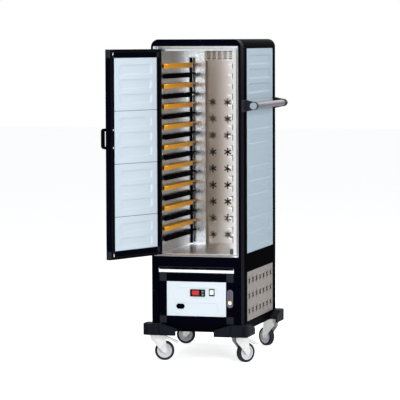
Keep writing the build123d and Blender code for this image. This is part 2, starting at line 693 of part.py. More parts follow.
with BuildPart() as push_bar_brackets:
    with BuildSketch(front_plane(FRONT + 74)):
        arm_outline()
    extrude(amount=-24)
    block(HALF + 0.3, HALF + 6, FRONT + 8, FRONT + 98, BAR_Z - BRACKET_HALF, BAR_Z + BRACKET_HALF)
    with BuildSketch(front_plane(FRONT + 706)):
        arm_outline()
    extrude(amount=-24)
save(push_bar_brackets, "push_bar_brackets")

with BuildPart() as push_bar_caps:
    for end, outward in ((BAR_FRONT - 0.1, 1), (BAR_REAR + 0.1, -1)):
        with BuildSketch(front_plane(end)):
            with Locations((BAR_X, BAR_Z)):
                Circle(17.5)
        extrude(amount=outward * 9)
        with BuildSketch(front_plane(end)):
            with Locations((BAR_X, BAR_Z)):
                Circle(BAR_RADIUS - 2.1)
        extrude(amount=-outward * 12)
save(push_bar_caps, "push_bar_caps")

# Pull-out drip tray
with BuildPart() as drip_tray:
    tray_front = FRONT + 1.0
    tray_back = tray_front + TRAY_LENGTH
    block(-TRAY_HALF, TRAY_HALF, tray_front, tray_back, TRAY_FLOOR - 2, TRAY_FLOOR)
    for side in (-1, 1):
        block(side * TRAY_HALF, side * (TRAY_HALF - 2), tray_front, tray_back, TRAY_FLOOR, TRAY_RIM)
    block(-TRAY_HALF, TRAY_HALF, tray_back - 2, tray_back, TRAY_FLOOR, TRAY_RIM)
    block(-TRAY_HALF, TRAY_HALF, tray_front, tray_front + 3, TRAY_FLOOR, TRAY_LIP)
save(drip_tray, "drip_tray")

# Main door, drawn in its own plane, standing open by DOOR_OPEN
DOOR = Plane(
    origin=(HINGE_X, HINGE_Y, 0),
    x_dir=(cos(radians(-DOOR_OPEN)), sin(radians(-DOOR_OPEN)), 0),
    z_dir=(0, 0, 1),
)
DOOR_LEFT = -HINGE_INSET
DOOR_RIGHT = DOOR_WIDTH - HINGE_INSET
DOOR_OUTER = -HINGE_INSET
DOOR_INNER = DOOR_THICK - HINGE_INSET
DOOR_MIDDLE = (DOOR_OUTER + DOOR_INNER) / 2
STILE_LEFT = DOOR_LEFT + DOOR_STILE
STILE_RIGHT = DOOR_RIGHT - DOOR_STILE
STILE_CENTRES = (DOOR_LEFT + DOOR_STILE / 2, DOOR_RIGHT - DOOR_STILE / 2)
RAIL_LOW = DOOR_BOTTOM + DOOR_RAIL
RAIL_HIGH = DOOR_TOP - DOOR_RAIL
ROUND_EDGE = HINGE_INSET - 0.05


def door_face(depth):
    """Upright plane in the door: first axis along its width, second up, normal outwards."""
    return Plane(origin=DOOR.origin + DOOR.y_dir * depth, x_dir=DOOR.x_dir, z_dir=DOOR.y_dir * -1)


with BuildPart() as door_frame:
    with BuildSketch(DOOR.offset(RAIL_LOW)):
        with Locations(*[(centre, DOOR_MIDDLE) for centre in STILE_CENTRES]):
            RectangleRounded(DOOR_STILE, DOOR_THICK, ROUND_EDGE)
    extrude(amount=RAIL_HIGH - RAIL_LOW)
    with BuildSketch(door_face(DOOR_OUTER)):
        flat(STILE_LEFT + 0.2, STILE_RIGHT - 0.2, DOOR_BOTTOM, RAIL_LOW)
        flat(STILE_LEFT + 0.2, STILE_RIGHT - 0.2, RAIL_HIGH, DOOR_TOP)
    extrude(amount=-DOOR_THICK)
save(door_frame, "door_frame")

with BuildPart() as door_corner_blocks:
    for low, high in ((DOOR_BOTTOM, RAIL_LOW - 0.1), (RAIL_HIGH + 0.1, DOOR_TOP)):
        with BuildSketch(DOOR.offset(low)):
            with Locations(*[(centre, DOOR_MIDDLE) for centre in STILE_CENTRES]):
                RectangleRounded(DOOR_STILE, DOOR_THICK, ROUND_EDGE)
        extrude(amount=high - low)
    for end, reach in ((DOOR_BOTTOM, PIN_REACH + 1), (DOOR_TOP, -PIN_REACH - 1)):
        with BuildSketch(DOOR.offset(end)):
            Circle(PIN_RADIUS + FIT)
        extrude(amount=reach, mode=Mode.SUBTRACT)
save(door_corner_blocks, "door_corner_blocks")

DOOR_SKIN = 7.0
RIB_CENTRE = (STILE_RIGHT + STILE_LEFT) / 2
RIB_WIDTH = STILE_RIGHT - STILE_LEFT - 2 * RIB_SIDE_MARGIN
DOOR_RIBS = rib_rows(RAIL_HIGH, RAIL_LOW)
with BuildPart() as door_panels:
    for depth, inward in ((DOOR_INNER - 1.0, 1), (DOOR_OUTER + 1.0, -1)):
        with BuildSketch(door_face(depth)):
            flat(STILE_LEFT + 0.3, STILE_RIGHT - 0.3, RAIL_LOW + 0.3, RAIL_HIGH - 0.3)
        extrude(amount=inward * DOOR_SKIN)
        with BuildSketch(door_face(depth)):
            rib_pockets(RIB_WIDTH, DOOR_RIBS, RIB_CENTRE)
        extrude(amount=inward * RIB_DEPTH, mode=Mode.SUBTRACT)
save(door_panels, "door_panels")

with BuildPart() as door_core:
    with BuildSketch(door_face(DOOR_OUTER + DOOR_SKIN + 1.3)):
        flat(STILE_LEFT + 1, STILE_RIGHT - 1, RAIL_LOW + 1, RAIL_HIGH - 1)
    extrude(amount=-(DOOR_THICK - 2 * DOOR_SKIN - 2.6))
save(door_core, "door_core")

# Seal of four lengths round the door's inner face
SEAL_WIDTH = 12.0
SEAL_LEFT = DOOR_LEFT + 9
SEAL_RIGHT = DOOR_RIGHT - 9
SEAL_LOW = DOOR_BOTTOM + 4
SEAL_HIGH = DOOR_TOP - 4
with BuildPart() as door_gasket:
    with BuildSketch(door_face(DOOR_INNER + 0.1)):
        flat(SEAL_LEFT, SEAL_LEFT + SEAL_WIDTH, SEAL_LOW + SEAL_WIDTH + 0.1, SEAL_HIGH - SEAL_WIDTH - 0.1)
        flat(SEAL_RIGHT - SEAL_WIDTH, SEAL_RIGHT, SEAL_LOW + SEAL_WIDTH + 0.1, SEAL_HIGH - SEAL_WIDTH - 0.1)
        flat(SEAL_LEFT, SEAL_RIGHT, SEAL_LOW, SEAL_LOW + SEAL_WIDTH)
        flat(SEAL_LEFT, SEAL_RIGHT, SEAL_HIGH - SEAL_WIDTH, SEAL_HIGH)
    extrude(amount=-3.3)
save(door_gasket, "door_gasket")

# D handle on the door's outer face
HANDLE_Z = 1149.0
HANDLE_LENGTH = 106.0
HANDLE_REACH = 38.0
HANDLE_WIDTH = 20.0
HANDLE_BAR = 13.0
HANDLE_U = DOOR_RIGHT - DOOR_STILE / 2
HANDLE_LOW = HANDLE_Z - HANDLE_LENGTH / 2
HANDLE_HIGH = HANDLE_Z + HANDLE_LENGTH / 2
HANDLE_BASE = DOOR_OUTER - 0.1
HANDLE_SIDE = Plane(
    origin=DOOR.origin + DOOR.x_dir * (HANDLE_U - HANDLE_WIDTH / 2), x_dir=DOOR.y_dir, z_dir=DOOR.x_dir,
)
with BuildPart() as door_handle:
    with BuildSketch(HANDLE_SIDE):
        with BuildLine():
            Polyline(
                (HANDLE_BASE, HANDLE_LOW), (HANDLE_BASE - HANDLE_REACH + 10, HANDLE_LOW + 3),
                (HANDLE_BASE - HANDLE_REACH, HANDLE_LOW + 14), (HANDLE_BASE - HANDLE_REACH, HANDLE_HIGH - 14),
                (HANDLE_BASE - HANDLE_REACH + 10, HANDLE_HIGH - 3), (HANDLE_BASE, HANDLE_HIGH), close=True,
            )
        make_face()
        flat(
            HANDLE_BASE, HANDLE_BASE - HANDLE_REACH + HANDLE_BAR,
            HANDLE_LOW + HANDLE_BAR + 2, HANDLE_HIGH - HANDLE_BAR - 2, mode=Mode.SUBTRACT,
        )
    extrude(amount=HANDLE_WIDTH)
    fillet(door_handle.edges().filter_by(Axis.Z).sort_by(lambda e: e.length)[-4:], radius=3)
save(door_handle, "door_handle")

# Screws: two on each corner block's inner face, two through to the handle
with BuildPart() as door_screws:
    with BuildSketch(door_face(DOOR_INNER + 0.1)):
        with Locations(*[(HANDLE_U - 8, HANDLE_Z + step) for step in (-44.5, 44.5)]):
            Circle(4.5)
    extrude(amount=-1.4)
    with BuildSketch(door_face(DOOR_OUTER - 0.1)):
        for centre in STILE_CENTRES:
            for height in (DOOR_BOTTOM + DOOR_RAIL / 2, DOOR_TOP - DOOR_RAIL / 2):
                with Locations((centre, height)):
                    Circle(6)
                    Circle(3, mode=Mode.SUBTRACT)
    extrude(amount=0.6)
save(door_screws, "door_screws")

# Machine door with its corner blocks and ribbed panel
PANEL_LEFT = -MACHINE_HALF + MACHINE_STILE
PANEL_RIGHT = MACHINE_HALF - MACHINE_STILE
PANEL_LOW = MACHINE_BOTTOM + MACHINE_RAIL_LOW
PANEL_HIGH = MACHINE_TOP - MACHINE_RAIL_HIGH
MACHINE_MIDDLE = FRONT + MACHINE_THICK / 2
MACHINE_STILES = (
    (-MACHINE_HALF + MACHINE_STILE / 2, MACHINE_MIDDLE),
    (MACHINE_HALF - MACHINE_STILE / 2, MACHINE_MIDDLE),
)
with BuildPart() as machine_door_frame:
    with BuildSketch(Plane.XY.offset(PANEL_LOW)):
        with Locations(*MACHINE_STILES):
            RectangleRounded(MACHINE_STILE, MACHINE_THICK, ROUND_EDGE)
    extrude(amount=PANEL_HIGH - PANEL_LOW)
    with BuildSketch(front_plane(FRONT)):
        flat(PANEL_LEFT + 0.2, PANEL_RIGHT - 0.2, MACHINE_BOTTOM, PANEL_LOW)
        flat(PANEL_LEFT + 0.2, PANEL_RIGHT - 0.2, PANEL_HIGH, MACHINE_TOP)
    extrude(amount=-MACHINE_THICK)
save(machine_door_frame, "machine_door_frame")

with BuildPart() as machine_door_corners:
    for low, high in ((MACHINE_BOTTOM, PANEL_LOW - 0.1), (PANEL_HIGH + 0.1, MACHINE_TOP)):
        with BuildSketch(Plane.XY.offset(low)):
            with Locations(*MACHINE_STILES):
                RectangleRounded(MACHINE_STILE, MACHINE_THICK, ROUND_EDGE)
        extrude(amount=high - low)
    for end, reach in ((MACHINE_BOTTOM, PIN_REACH + 1), (MACHINE_TOP, -PIN_REACH - 1)):
        with BuildSketch(Plane.XY.offset(end)):
            with Locations((MACHINE_HINGE_X, HINGE_Y)):
                Circle(PIN_RADIUS + FIT)
        extrude(amount=reach, mode=Mode.SUBTRACT)
save(machine_door_corners, "machine_door_corners")

# Controls on the machine panel, each standing in a rib
THERMO = (7.0, 354.5)
THERMO_WIDTH = 78.0
THERMO_HEIGHT = 36.0
KEY_X = THERMO[0] + 27.0
KEY_SIZE = (11.0, 9.0)
KEYS = {"key_up": THERMO[1] + 7.5, "key_down": THERMO[1] - 7.5}
ROCKER = (81.0, 358.0)
ROCKER_WIDTH = 28.0
ROCKER_HEIGHT = 36.0
INLET = (-84.0, 284.8)
INLET_WIDTH = 46.0
INLET_HEIGHT = 25.5
LATCH = (178.5, 328.5)
LATCH_WIDTH = 30.0
LATCH_HEIGHT = 93.0
PANEL_RIBS = (353.5, 277.0)
RIB_FLOOR = FRONT + 1 + 3
with BuildPart() as machine_door_panel:
    with BuildSketch(front_plane(FRONT + 1)):
        flat(PANEL_LEFT + 0.3, PANEL_RIGHT - 0.3, PANEL_LOW + 0.3, PANEL_HIGH - 0.3)
        with Locations(THERMO):
            Rectangle(THERMO_WIDTH - 6, THERMO_HEIGHT - 6, mode=Mode.SUBTRACT)
        with Locations(ROCKER):
            Rectangle(ROCKER_WIDTH - 4, ROCKER_HEIGHT - 4, mode=Mode.SUBTRACT)
        with Locations(INLET):
            Rectangle(INLET_WIDTH - 12, INLET_HEIGHT - 4, mode=Mode.SUBTRACT)
    extrude(amount=-8)
    with BuildSketch(front_plane(FRONT + 1)):
        rib_pockets(224, PANEL_RIBS, 2)
    extrude(amount=-3, mode=Mode.SUBTRACT)
save(machine_door_panel, "machine_door_panel")

with BuildPart() as thermostat:
    with BuildSketch(front_plane(RIB_FLOOR - 0.1)):
        with Locations(THERMO):
            RectangleRounded(THERMO_WIDTH, THERMO_HEIGHT, 3)
    extrude(amount=5)
    with BuildSketch(front_plane(RIB_FLOOR - 0.1)):
        with Locations(THERMO):
            Rectangle(THERMO_WIDTH - 7, THERMO_HEIGHT - 7)
    extrude(amount=-40)
    with BuildSketch(front_plane(RIB_FLOOR - 5.1)):
        with Locations((THERMO[0] - 10, THERMO[1])):
            Rectangle(46, 22)
    extrude(amount=-1.2, mode=Mode.SUBTRACT)
    with BuildSketch(front_plane(RIB_FLOOR - 5.1)):
        for height in KEYS.values():
            with Locations((KEY_X, height)):
                RectangleRounded(KEY_SIZE[0] + 0.8, KEY_SIZE[1] + 0.8, 1.9)
    extrude(amount=-4, mode=Mode.SUBTRACT)
save(thermostat, "thermostat")

for node, height in KEYS.items():
    with BuildPart() as key:
        with BuildSketch(front_plane(RIB_FLOOR - 2.5)):
            with Locations((KEY_X, height)):
                RectangleRounded(KEY_SIZE[0], KEY_SIZE[1], 1.5)
        extrude(amount=3.8)
    save(key, node)

# Rocker switch in its frame
ROCKER_TILT = 8.0
ROCKER_AXIS_Y = RIB_FLOOR + 3
with BuildPart() as rocker_frame:
    with BuildSketch(front_plane(RIB_FLOOR - 0.1)):
        with Locations(ROCKER):
            RectangleRounded(ROCKER_WIDTH, ROCKER_HEIGHT, 2.5)
            Rectangle(ROCKER_WIDTH - 7, ROCKER_HEIGHT - 9, mode=Mode.SUBTRACT)
    extrude(amount=3)
    with BuildSketch(front_plane(RIB_FLOOR - 0.1)):
        with Locations(ROCKER):
            Rectangle(ROCKER_WIDTH - 5, ROCKER_HEIGHT - 5)
            Rectangle(ROCKER_WIDTH - 7, ROCKER_HEIGHT - 9, mode=Mode.SUBTRACT)
    extrude(amount=-16)
    with BuildSketch(front_plane(RIB_FLOOR + 14)):
        with Locations(ROCKER):
            Rectangle(ROCKER_WIDTH - 5, ROCKER_HEIGHT - 5)
    extrude(amount=-8)
save(rocker_frame, "rocker_frame")

with BuildPart() as rocker_switch:
    rocker_plane = Plane(
        origin=(ROCKER[0], ROCKER_AXIS_Y, ROCKER[1]),
        x_dir=(1, 0, 0),
        z_dir=(0, -cos(radians(ROCKER_TILT)), sin(radians(ROCKER_TILT))),
    )
    with BuildSketch(rocker_plane.offset(-4)):
        Rectangle(ROCKER_WIDTH - 8, ROCKER_HEIGHT - 12)
    extrude(amount=11)
    with BuildSketch(side_plane(ROCKER[0] - ROCKER_WIDTH / 2 + 4.2)):
        with Locations((ROCKER_AXIS_Y, ROCKER[1])):
            Circle(4.8)
    extrude(amount=ROCKER_WIDTH - 8.4)
save(rocker_switch, "rocker_switch")

# Appliance inlet: flange, shrouded socket and three pins
with BuildPart() as mains_inlet:
    with BuildSketch(front_plane(RIB_FLOOR - 0.1)):
        with Locations(INLET):
            Polygon(
                (-INLET_WIDTH / 2, 0), (-INLET_WIDTH / 2 + 8, INLET_HEIGHT / 2),
                (INLET_WIDTH / 2 - 8, INLET_HEIGHT / 2), (INLET_WIDTH / 2, 0),
                (INLET_WIDTH / 2 - 8, -INLET_HEIGHT / 2), (-INLET_WIDTH / 2 + 8, -INLET_HEIGHT / 2),
            )
    extrude(amount=3)
    with BuildSketch(front_plane(RIB_FLOOR - 0.1)):
        with Locations(INLET):
            Rectangle(INLET_WIDTH - 14, INLET_HEIGHT - 5)
    extrude(amount=-24)
    with BuildSketch(front_plane(RIB_FLOOR - 3.1)):
        with Locations(INLET):
            RectangleRounded(25, 16, 3)
    extrude(amount=-20, mode=Mode.SUBTRACT)
    with BuildSketch(front_plane(RIB_FLOOR + 17)):
        with Locations(INLET):
            with Locations((-7, -2), (7, -2), (0, 3)):
                Rectangle(2, 4)
    extrude(amount=12)
save(mains_inlet, "mains_inlet")

# Latch: pill-shaped housing with a press button in its upper half
with BuildPart() as latch_housing:
    with BuildSketch(front_plane(FRONT - 0.1)):
        with Locations(LATCH):
            SlotOverall(LATCH_HEIGHT, LATCH_WIDTH, rotation=90)
    extrude(amount=9)
    fillet(latch_housing.faces().sort_by(Axis.Y)[0].edges(), radius=3)
    with BuildSketch(front_plane(FRONT - 9.1)):
        with Locations((LATCH[0], LATCH[1] + 16)):
            SlotOverall(46, 17, rotation=90)
    extrude(amount=-7, mode=Mode.SUBTRACT)
save(latch_housing, "latch_housing")

with BuildPart() as latch_button:
    with BuildSketch(front_plane(FRONT - 6.2)):
        with Locations((LATCH[0], LATCH[1] + 16)):
            SlotOverall(45, 16, rotation=90)
    extrude(amount=5)
    fillet(latch_button.faces().sort_by(Axis.Y)[0].edges(), radius=1.5)
save(latch_button, "latch_button")

# Castor plates with their kingpins, and the bolts that hold them
with BuildPart() as castor_plates:
    for x, y, _, _ in CASTORS.values():
        with BuildSketch(Plane.XY.offset(CHASSIS_BOTTOM - 0.1)):
            with Locations((x, y)):
                RectangleRounded(PLATE_SIZE, PLATE_SIZE, 6)
        extrude(amount=-PLATE_THICK)
        with BuildSketch(Plane.XY.offset(CHASSIS_BOTTOM - 0.1 - PLATE_THICK)):
            with Locations((x, y)):
                Circle(KINGPIN_RADIUS)
        extrude(amount=-16)
save(castor_plates, "castor_plates")

with BuildPart() as castor_bolts:
    for x, y, _, _ in CASTORS.values():
        with BuildSketch(Plane.XY.offset(CHASSIS_BOTTOM - 0.2 - PLATE_THICK)):
            with Locations((x, y)):
                with GridLocations(BOLT_SPACING, BOLT_SPACING, 2, 2):
                    RegularPolygon(6.5, 6)
        extrude(amount=-4)
save(castor_bolts, "castor_bolts")

# Forks, wheels and brake pedals, each turned to its castor's heading
PEDAL_PIN = (22.0, 124.0)
CHEEK = (
    (-32, CROWN_TOP - 8), (28, CROWN_TOP - 8), (40, CROWN_TOP - 26), (TRAIL + 13, WHEEL_RADIUS + 6),
    (TRAIL + 8, WHEEL_RADIUS - 11), (TRAIL - 8, WHEEL_RADIUS - 11), (TRAIL - 20, WHEEL_RADIUS + 4),
    (-24, CROWN_TOP - 52), (-36, CROWN_TOP - 38), (-38, CROWN_TOP - 20),
)
PEDAL = (
    (22, 130.5), (34, 127), (70, 113), (107, 95), (107, 88), (98, 86), (64, 102), (34, 112), (20, 117),
)
for name, (x, y, heading, braked) in CASTORS.items():
    along = Vector(cos(radians(heading)), sin(radians(heading)), 0)
    across = Vector(-sin(radians(heading)), cos(radians(heading)), 0)
    base = Plane(origin=(x, y, 0), x_dir=along, z_dir=(0, 0, 1))
    pivot = Vector(x, y, 0)
    hub = pivot + along * TRAIL + Vector(0, 0, WHEEL_RADIUS)

    with BuildPart() as fork:
        with BuildSketch(base.offset(CROWN_TOP)):
            Circle(32)
        extrude(amount=-8)
        with BuildSketch(base.offset(CROWN_TOP - 8)):
            Rectangle(56, 2 * (FORK_INNER + FORK_SHEET))
        extrude(amount=-4)
        for offset in (-FORK_INNER - FORK_SHEET, FORK_INNER):
            with BuildSketch(Plane(origin=pivot + across * offset, x_dir=along, z_dir=across * -1)):
                with BuildLine():
                    Polyline(*CHEEK, close=True)
                make_face()
            extrude(amount=-FORK_SHEET)
        with BuildSketch(Plane(origin=hub - across * (FORK_INNER + 6), x_dir=along, z_dir=across)):
            Circle(AXLE_RADIUS)
        extrude(amount=2 * (FORK_INNER + 6))
        if braked:
            pin_foot = pivot + along * PEDAL_PIN[0] + Vector(0, 0, PEDAL_PIN[1])
            with BuildSketch(Plane(origin=pin_foot - across * FORK_INNER, x_dir=along, z_dir=across)):
                Circle(3)
            extrude(amount=2 * FORK_INNER)
        with BuildSketch(base.offset(CROWN_TOP)):
            Circle(KINGPIN_RADIUS + FIT)
        extrude(amount=-15, mode=Mode.SUBTRACT)
    save(fork, f"castor_fork_{name}")

    with BuildPart() as wheel:
        with BuildSketch(Plane(origin=hub, x_dir=across, z_dir=along)):
            flat(-FORK_INNER + 1, FORK_INNER - 1, AXLE_RADIUS + FIT, 13)
            flat(-4, 4, 12, TYRE_INNER - 5)
            flat(-12, 12, TYRE_INNER - 7, TYRE_INNER - 0.2)
        revolve(axis=Axis(hub, across))
        with BuildSketch(Plane(origin=hub, x_dir=across, z_dir=along)):
            flat(-WHEEL_WIDTH / 2, WHEEL_WIDTH / 2, TYRE_INNER, WHEEL_RADIUS - 5)
            flat(-WHEEL_WIDTH / 2 + 5, WHEEL_WIDTH / 2 - 5, WHEEL_RADIUS - 6, WHEEL_RADIUS)
            with Locations(*[(side * (WHEEL_WIDTH / 2 - 5), WHEEL_RADIUS - 5) for side in (-1, 1)]):
                Circle(5)
        revolve(axis=Axis(hub, across))
    save(wheel, f"castor_wheel_{name}")

    if braked:
        with BuildPart() as pedal:
            with BuildSketch(Plane(origin=pivot - across * 14, x_dir=along, z_dir=across * -1)):
                with BuildLine():
                    Polyline(*PEDAL, close=True)
                make_face()
                with Locations(PEDAL_PIN):
                    Circle(7)
                    Circle(3 + FIT, mode=Mode.SUBTRACT)
            extrude(amount=-28)
        save(pedal, f"brake_pedal_{name}")
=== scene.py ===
# %% [markdown]
# # Cold banquet trolley
# A tall, slim refrigerated cabinet for a banquet kitchen. Its door stands open on orange and
# black shelf rails, and the cooling machine sits behind a small door below.
# The CAD model gives every size and joint. This lesson dresses it: finishes, pressed ribs,
# screws and castor details, then light and a camera like the photographer's.

# %% Open the frame
import json
import math

import bmesh
import bpy
from mathutils import Matrix, Vector


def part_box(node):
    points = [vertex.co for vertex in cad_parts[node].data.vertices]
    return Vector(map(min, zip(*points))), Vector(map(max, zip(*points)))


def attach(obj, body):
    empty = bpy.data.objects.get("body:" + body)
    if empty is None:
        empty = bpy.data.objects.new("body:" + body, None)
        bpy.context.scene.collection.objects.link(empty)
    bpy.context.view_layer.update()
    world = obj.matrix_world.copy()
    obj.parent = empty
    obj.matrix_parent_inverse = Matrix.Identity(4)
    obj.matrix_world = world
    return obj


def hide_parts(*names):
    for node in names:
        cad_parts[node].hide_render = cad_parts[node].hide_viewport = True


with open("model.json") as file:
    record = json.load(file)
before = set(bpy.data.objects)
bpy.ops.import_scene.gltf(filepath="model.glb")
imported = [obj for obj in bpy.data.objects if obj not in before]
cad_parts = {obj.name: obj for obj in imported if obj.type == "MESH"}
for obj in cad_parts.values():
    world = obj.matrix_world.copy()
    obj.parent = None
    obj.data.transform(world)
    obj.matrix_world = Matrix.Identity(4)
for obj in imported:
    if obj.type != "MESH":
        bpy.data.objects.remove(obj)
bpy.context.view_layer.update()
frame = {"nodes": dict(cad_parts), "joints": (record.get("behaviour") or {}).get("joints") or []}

nodes = frame["nodes"]

# %% [markdown]
# ## Where the photographer stood
# The edges of the cabinet converge very little, so the picture was taken from far away with a
# long lens. The place, direction and lens below make the corners of the cabinet fall where they
# fall in the picture.

# %% Camera
CAMERA_PLACE = Vector((3.156, -11.7415, 1.6395))
CAMERA_TURN = 0.2690
CAMERA_DIP = 0.0687
CAMERA_ROLL = -0.0037
LENS = 210.2

forward = Vector((
    -math.sin(CAMERA_TURN) * math.cos(CAMERA_DIP),
    math.cos(CAMERA_TURN) * math.cos(CAMERA_DIP),
    -math.sin(CAMERA_DIP),
))
level_right = Vector((math.cos(CAMERA_TURN), math.sin(CAMERA_TURN), 0))
level_up = level_right.cross(forward)
right = math.cos(CAMERA_ROLL) * level_right + math.sin(CAMERA_ROLL) * level_up
up = -math.sin(CAMERA_ROLL) * level_right + math.cos(CAMERA_ROLL) * level_up
eye = bpy.data.objects.new("photographer", bpy.data.cameras.new("photographer"))
eye.data.lens = LENS
eye.data.sensor_width = 36
eye.data.clip_end = 100
facing = Matrix((right, up, -forward)).transposed().to_4x4()
eye.matrix_world = Matrix.Translation(CAMERA_PLACE) @ facing
bpy.context.scene.collection.objects.link(eye)
bpy.context.scene.camera = eye
bpy.context.scene.view_settings.view_transform = "Standard"
print("Camera", [round(c, 3) for c in eye.location], "lens", LENS)

# %% [markdown]
# ## Studio light
# A studio picture like this has two big soft lights in front, the right one the stronger, weaker
# ones at the sides, behind and above, and white all round. The world shows white to the camera
# and in reflections, but lights the object more gently, so pale plastic keeps its shape.

# %% World and lamps
WORLD_LEVEL = 0.32


def white_to_the_eye(tree, plain, shown, out_socket, output):
    """Shows one shader to the camera and in reflections, and another to all other light."""
    path = tree.nodes.new("ShaderNodeLightPath")
    either = tree.nodes.new("ShaderNodeMath")
    either.operation = "MAXIMUM"
    tree.links.new(path.outputs["Is Camera Ray"], either.inputs[0])
    passed = tree.nodes.new("ShaderNodeMath")
    passed.operation = "MAXIMUM"
    tree.links.new(path.outputs["Is Glossy Ray"], passed.inputs[0])
    tree.links.new(path.outputs["Is Transmission Ray"], passed.inputs[1])
    tree.links.new(passed.outputs[0], either.inputs[1])
    mix = tree.nodes.new("ShaderNodeMixShader")
    tree.links.new(either.outputs[0], mix.inputs[0])
    tree.links.new(plain, mix.inputs[1])
    tree.links.new(shown, mix.inputs[2])
    tree.links.new(mix.outputs[0], output.inputs[out_socket])


world = bpy.data.worlds.new("studio")
world.use_nodes = True
world_tree = world.node_tree
soft = world_tree.nodes["Background"]
soft.inputs["Color"].default_value = (0.95, 0.97, 1, 1)
soft.inputs["Strength"].default_value = WORLD_LEVEL
white = world_tree.nodes.new("ShaderNodeBackground")
white.inputs["Color"].default_value = (1, 1, 1, 1)
white.inputs["Strength"].default_value = 1
white_to_the_eye(
    world_tree, soft.outputs[0], white.outputs[0], "Surface", world_tree.nodes["World Output"],
)
bpy.context.scene.world = world


def softbox(name, place, target, size, power):
    """A square area lamp aimed at a point."""
    lamp = bpy.data.lights.new(name, "AREA")
    lamp.size = size
    lamp.energy = power
    holder = bpy.data.objects.new(name, lamp)
    holder.location = place
    aim = Vector(target) - Vector(place)
    holder.rotation_euler = aim.to_track_quat("-Z", "Y").to_euler()
    bpy.context.scene.collection.objects.link(holder)
    return holder


softbox("front_left_light", (-0.9, -4.4, 4.4), (0, 0, 0.9), 1.5, 92)
softbox("front_right_light", (3.2, -4.8, 1.9), (0, 0, 0.95), 1.4, 175)
softbox("right_light", (4.2, 0.2, 3.0), (0, 0, 0.9), 1.8, 45)
softbox("left_light", (-4.2, 1.2, 2.2), (0, 0, 0.9), 2.2, 45)
softbox("back_light", (0.5, 5.0, 2.6), (0, 0, 0.9), 2.2, 55)
softbox("top_light", (0, 0.2, 4.4), (0, 0, 0), 2.4, 45)

# %% [markdown]
# ## Floor
# The floor is a plain pale sheet. Seen by the camera it has a little glow of its own, so that it
# melts into the white around, and it still takes the soft shadow under the wheels.

# %% Floor
floor_mesh = bpy.data.meshes.new("floor")
floor_mesh.from_pydata([(-30, -30, 0), (30, -30, 0), (30, 30, 0), (-30, 30, 0)], [], [(0, 1, 2, 3)])
floor = bpy.data.objects.new("floor", floor_mesh)
bpy.context.scene.collection.objects.link(floor)
floor_paint = bpy.data.materials.new("floor_paint")
floor_paint.use_nodes = True
floor_tree = floor_paint.node_tree
matt = floor_tree.nodes["Principled BSDF"]
matt.inputs["Base Color"].default_value = (0.84, 0.84, 0.84, 1)
matt.inputs["Roughness"].default_value = 0.9
matt.inputs["Specular IOR Level"].default_value = 0.1
glow = floor_tree.nodes.new("ShaderNodeEmission")
glow.inputs["Strength"].default_value = 0.68
lit = floor_tree.nodes.new("ShaderNodeAddShader")
floor_tree.links.new(matt.outputs[0], lit.inputs[0])
floor_tree.links.new(glow.outputs[0], lit.inputs[1])
white_to_the_eye(
    floor_tree, matt.outputs[0], lit.outputs[0], "Surface", floor_tree.nodes["Material Output"],
)
floor_mesh.materials.append(floor_paint)
print("Floor laid")

# %% [markdown]
# ## Finishes
# Every finish starts from the same small recipe. Object coordinates feed two noises: a broad one
# that shifts the colour a little, as real paint and plastic do, and a fine one that gives the
# surface its grain through a bump and an uneven gloss. Stretching the noise along one axis turns
# grain into brushing.


# %% The recipe
def finish(
    name, colour, rough, metal=0.0, specular=0.5, shift=0.06, broad=3.0,
    grain=400.0, grain_depth=0.02, stretch=(1, 1, 1), gloss_spread=0.06, coat=0.0, bend=1.45,
):
    """A Principled finish with broad colour drift, uneven gloss and fine grain."""
    material = bpy.data.materials.new(name)
    material.use_nodes = True
    tree = material.node_tree
    shader = tree.nodes["Principled BSDF"]
    shader.inputs["Metallic"].default_value = metal
    shader.inputs["Specular IOR Level"].default_value = specular
    shader.inputs["IOR"].default_value = bend
    shader.inputs["Coat Weight"].default_value = coat
    shader.inputs["Coat Roughness"].default_value = 0.15
    place = tree.nodes.new("ShaderNodeTexCoord")
    mapping = tree.nodes.new("ShaderNodeMapping")
    mapping.inputs["Scale"].default_value = stretch
    tree.links.new(place.outputs["Object"], mapping.inputs["Vector"])
    drift = tree.nodes.new("ShaderNodeTexNoise")
    drift.inputs["Scale"].default_value = broad
    drift.inputs["Detail"].default_value = 4
    tree.links.new(place.outputs["Object"], drift.inputs["Vector"])
    fine = tree.nodes.new("ShaderNodeTexNoise")
    fine.inputs["Scale"].default_value = grain
    fine.inputs["Detail"].default_value = 3
    tree.links.new(mapping.outputs["Vector"], fine.inputs["Vector"])
    tint = tree.nodes.new("ShaderNodeMix")
    tint.data_type = "RGBA"
    tint.inputs[6].default_value = (*[c * (1 - shift) for c in colour], 1)
    tint.inputs[7].default_value = (*[min(1, c * (1 + shift)) for c in colour], 1)
    tree.links.new(drift.outputs["Fac"], tint.inputs[0])
    tree.links.new(tint.outputs[2], shader.inputs["Base Color"])
    gloss = tree.nodes.new("ShaderNodeMapRange")
    gloss.inputs["To Min"].default_value = max(0.02, rough - gloss_spread)
    gloss.inputs["To Max"].default_value = min(1, rough + gloss_spread)
    tree.links.new(fine.outputs["Fac"], gloss.inputs["Value"])
    tree.links.new(gloss.outputs["Result"], shader.inputs["Roughness"])
    bump = tree.nodes.new("ShaderNodeBump")
    bump.inputs["Strength"].default_value = 0.35
    bump.inputs["Distance"].default_value = grain_depth * 0.001
    tree.links.new(fine.outputs["Fac"], bump.inputs["Height"])
    tree.links.new(bump.outputs["Normal"], shader.inputs["Normal"])
    return material
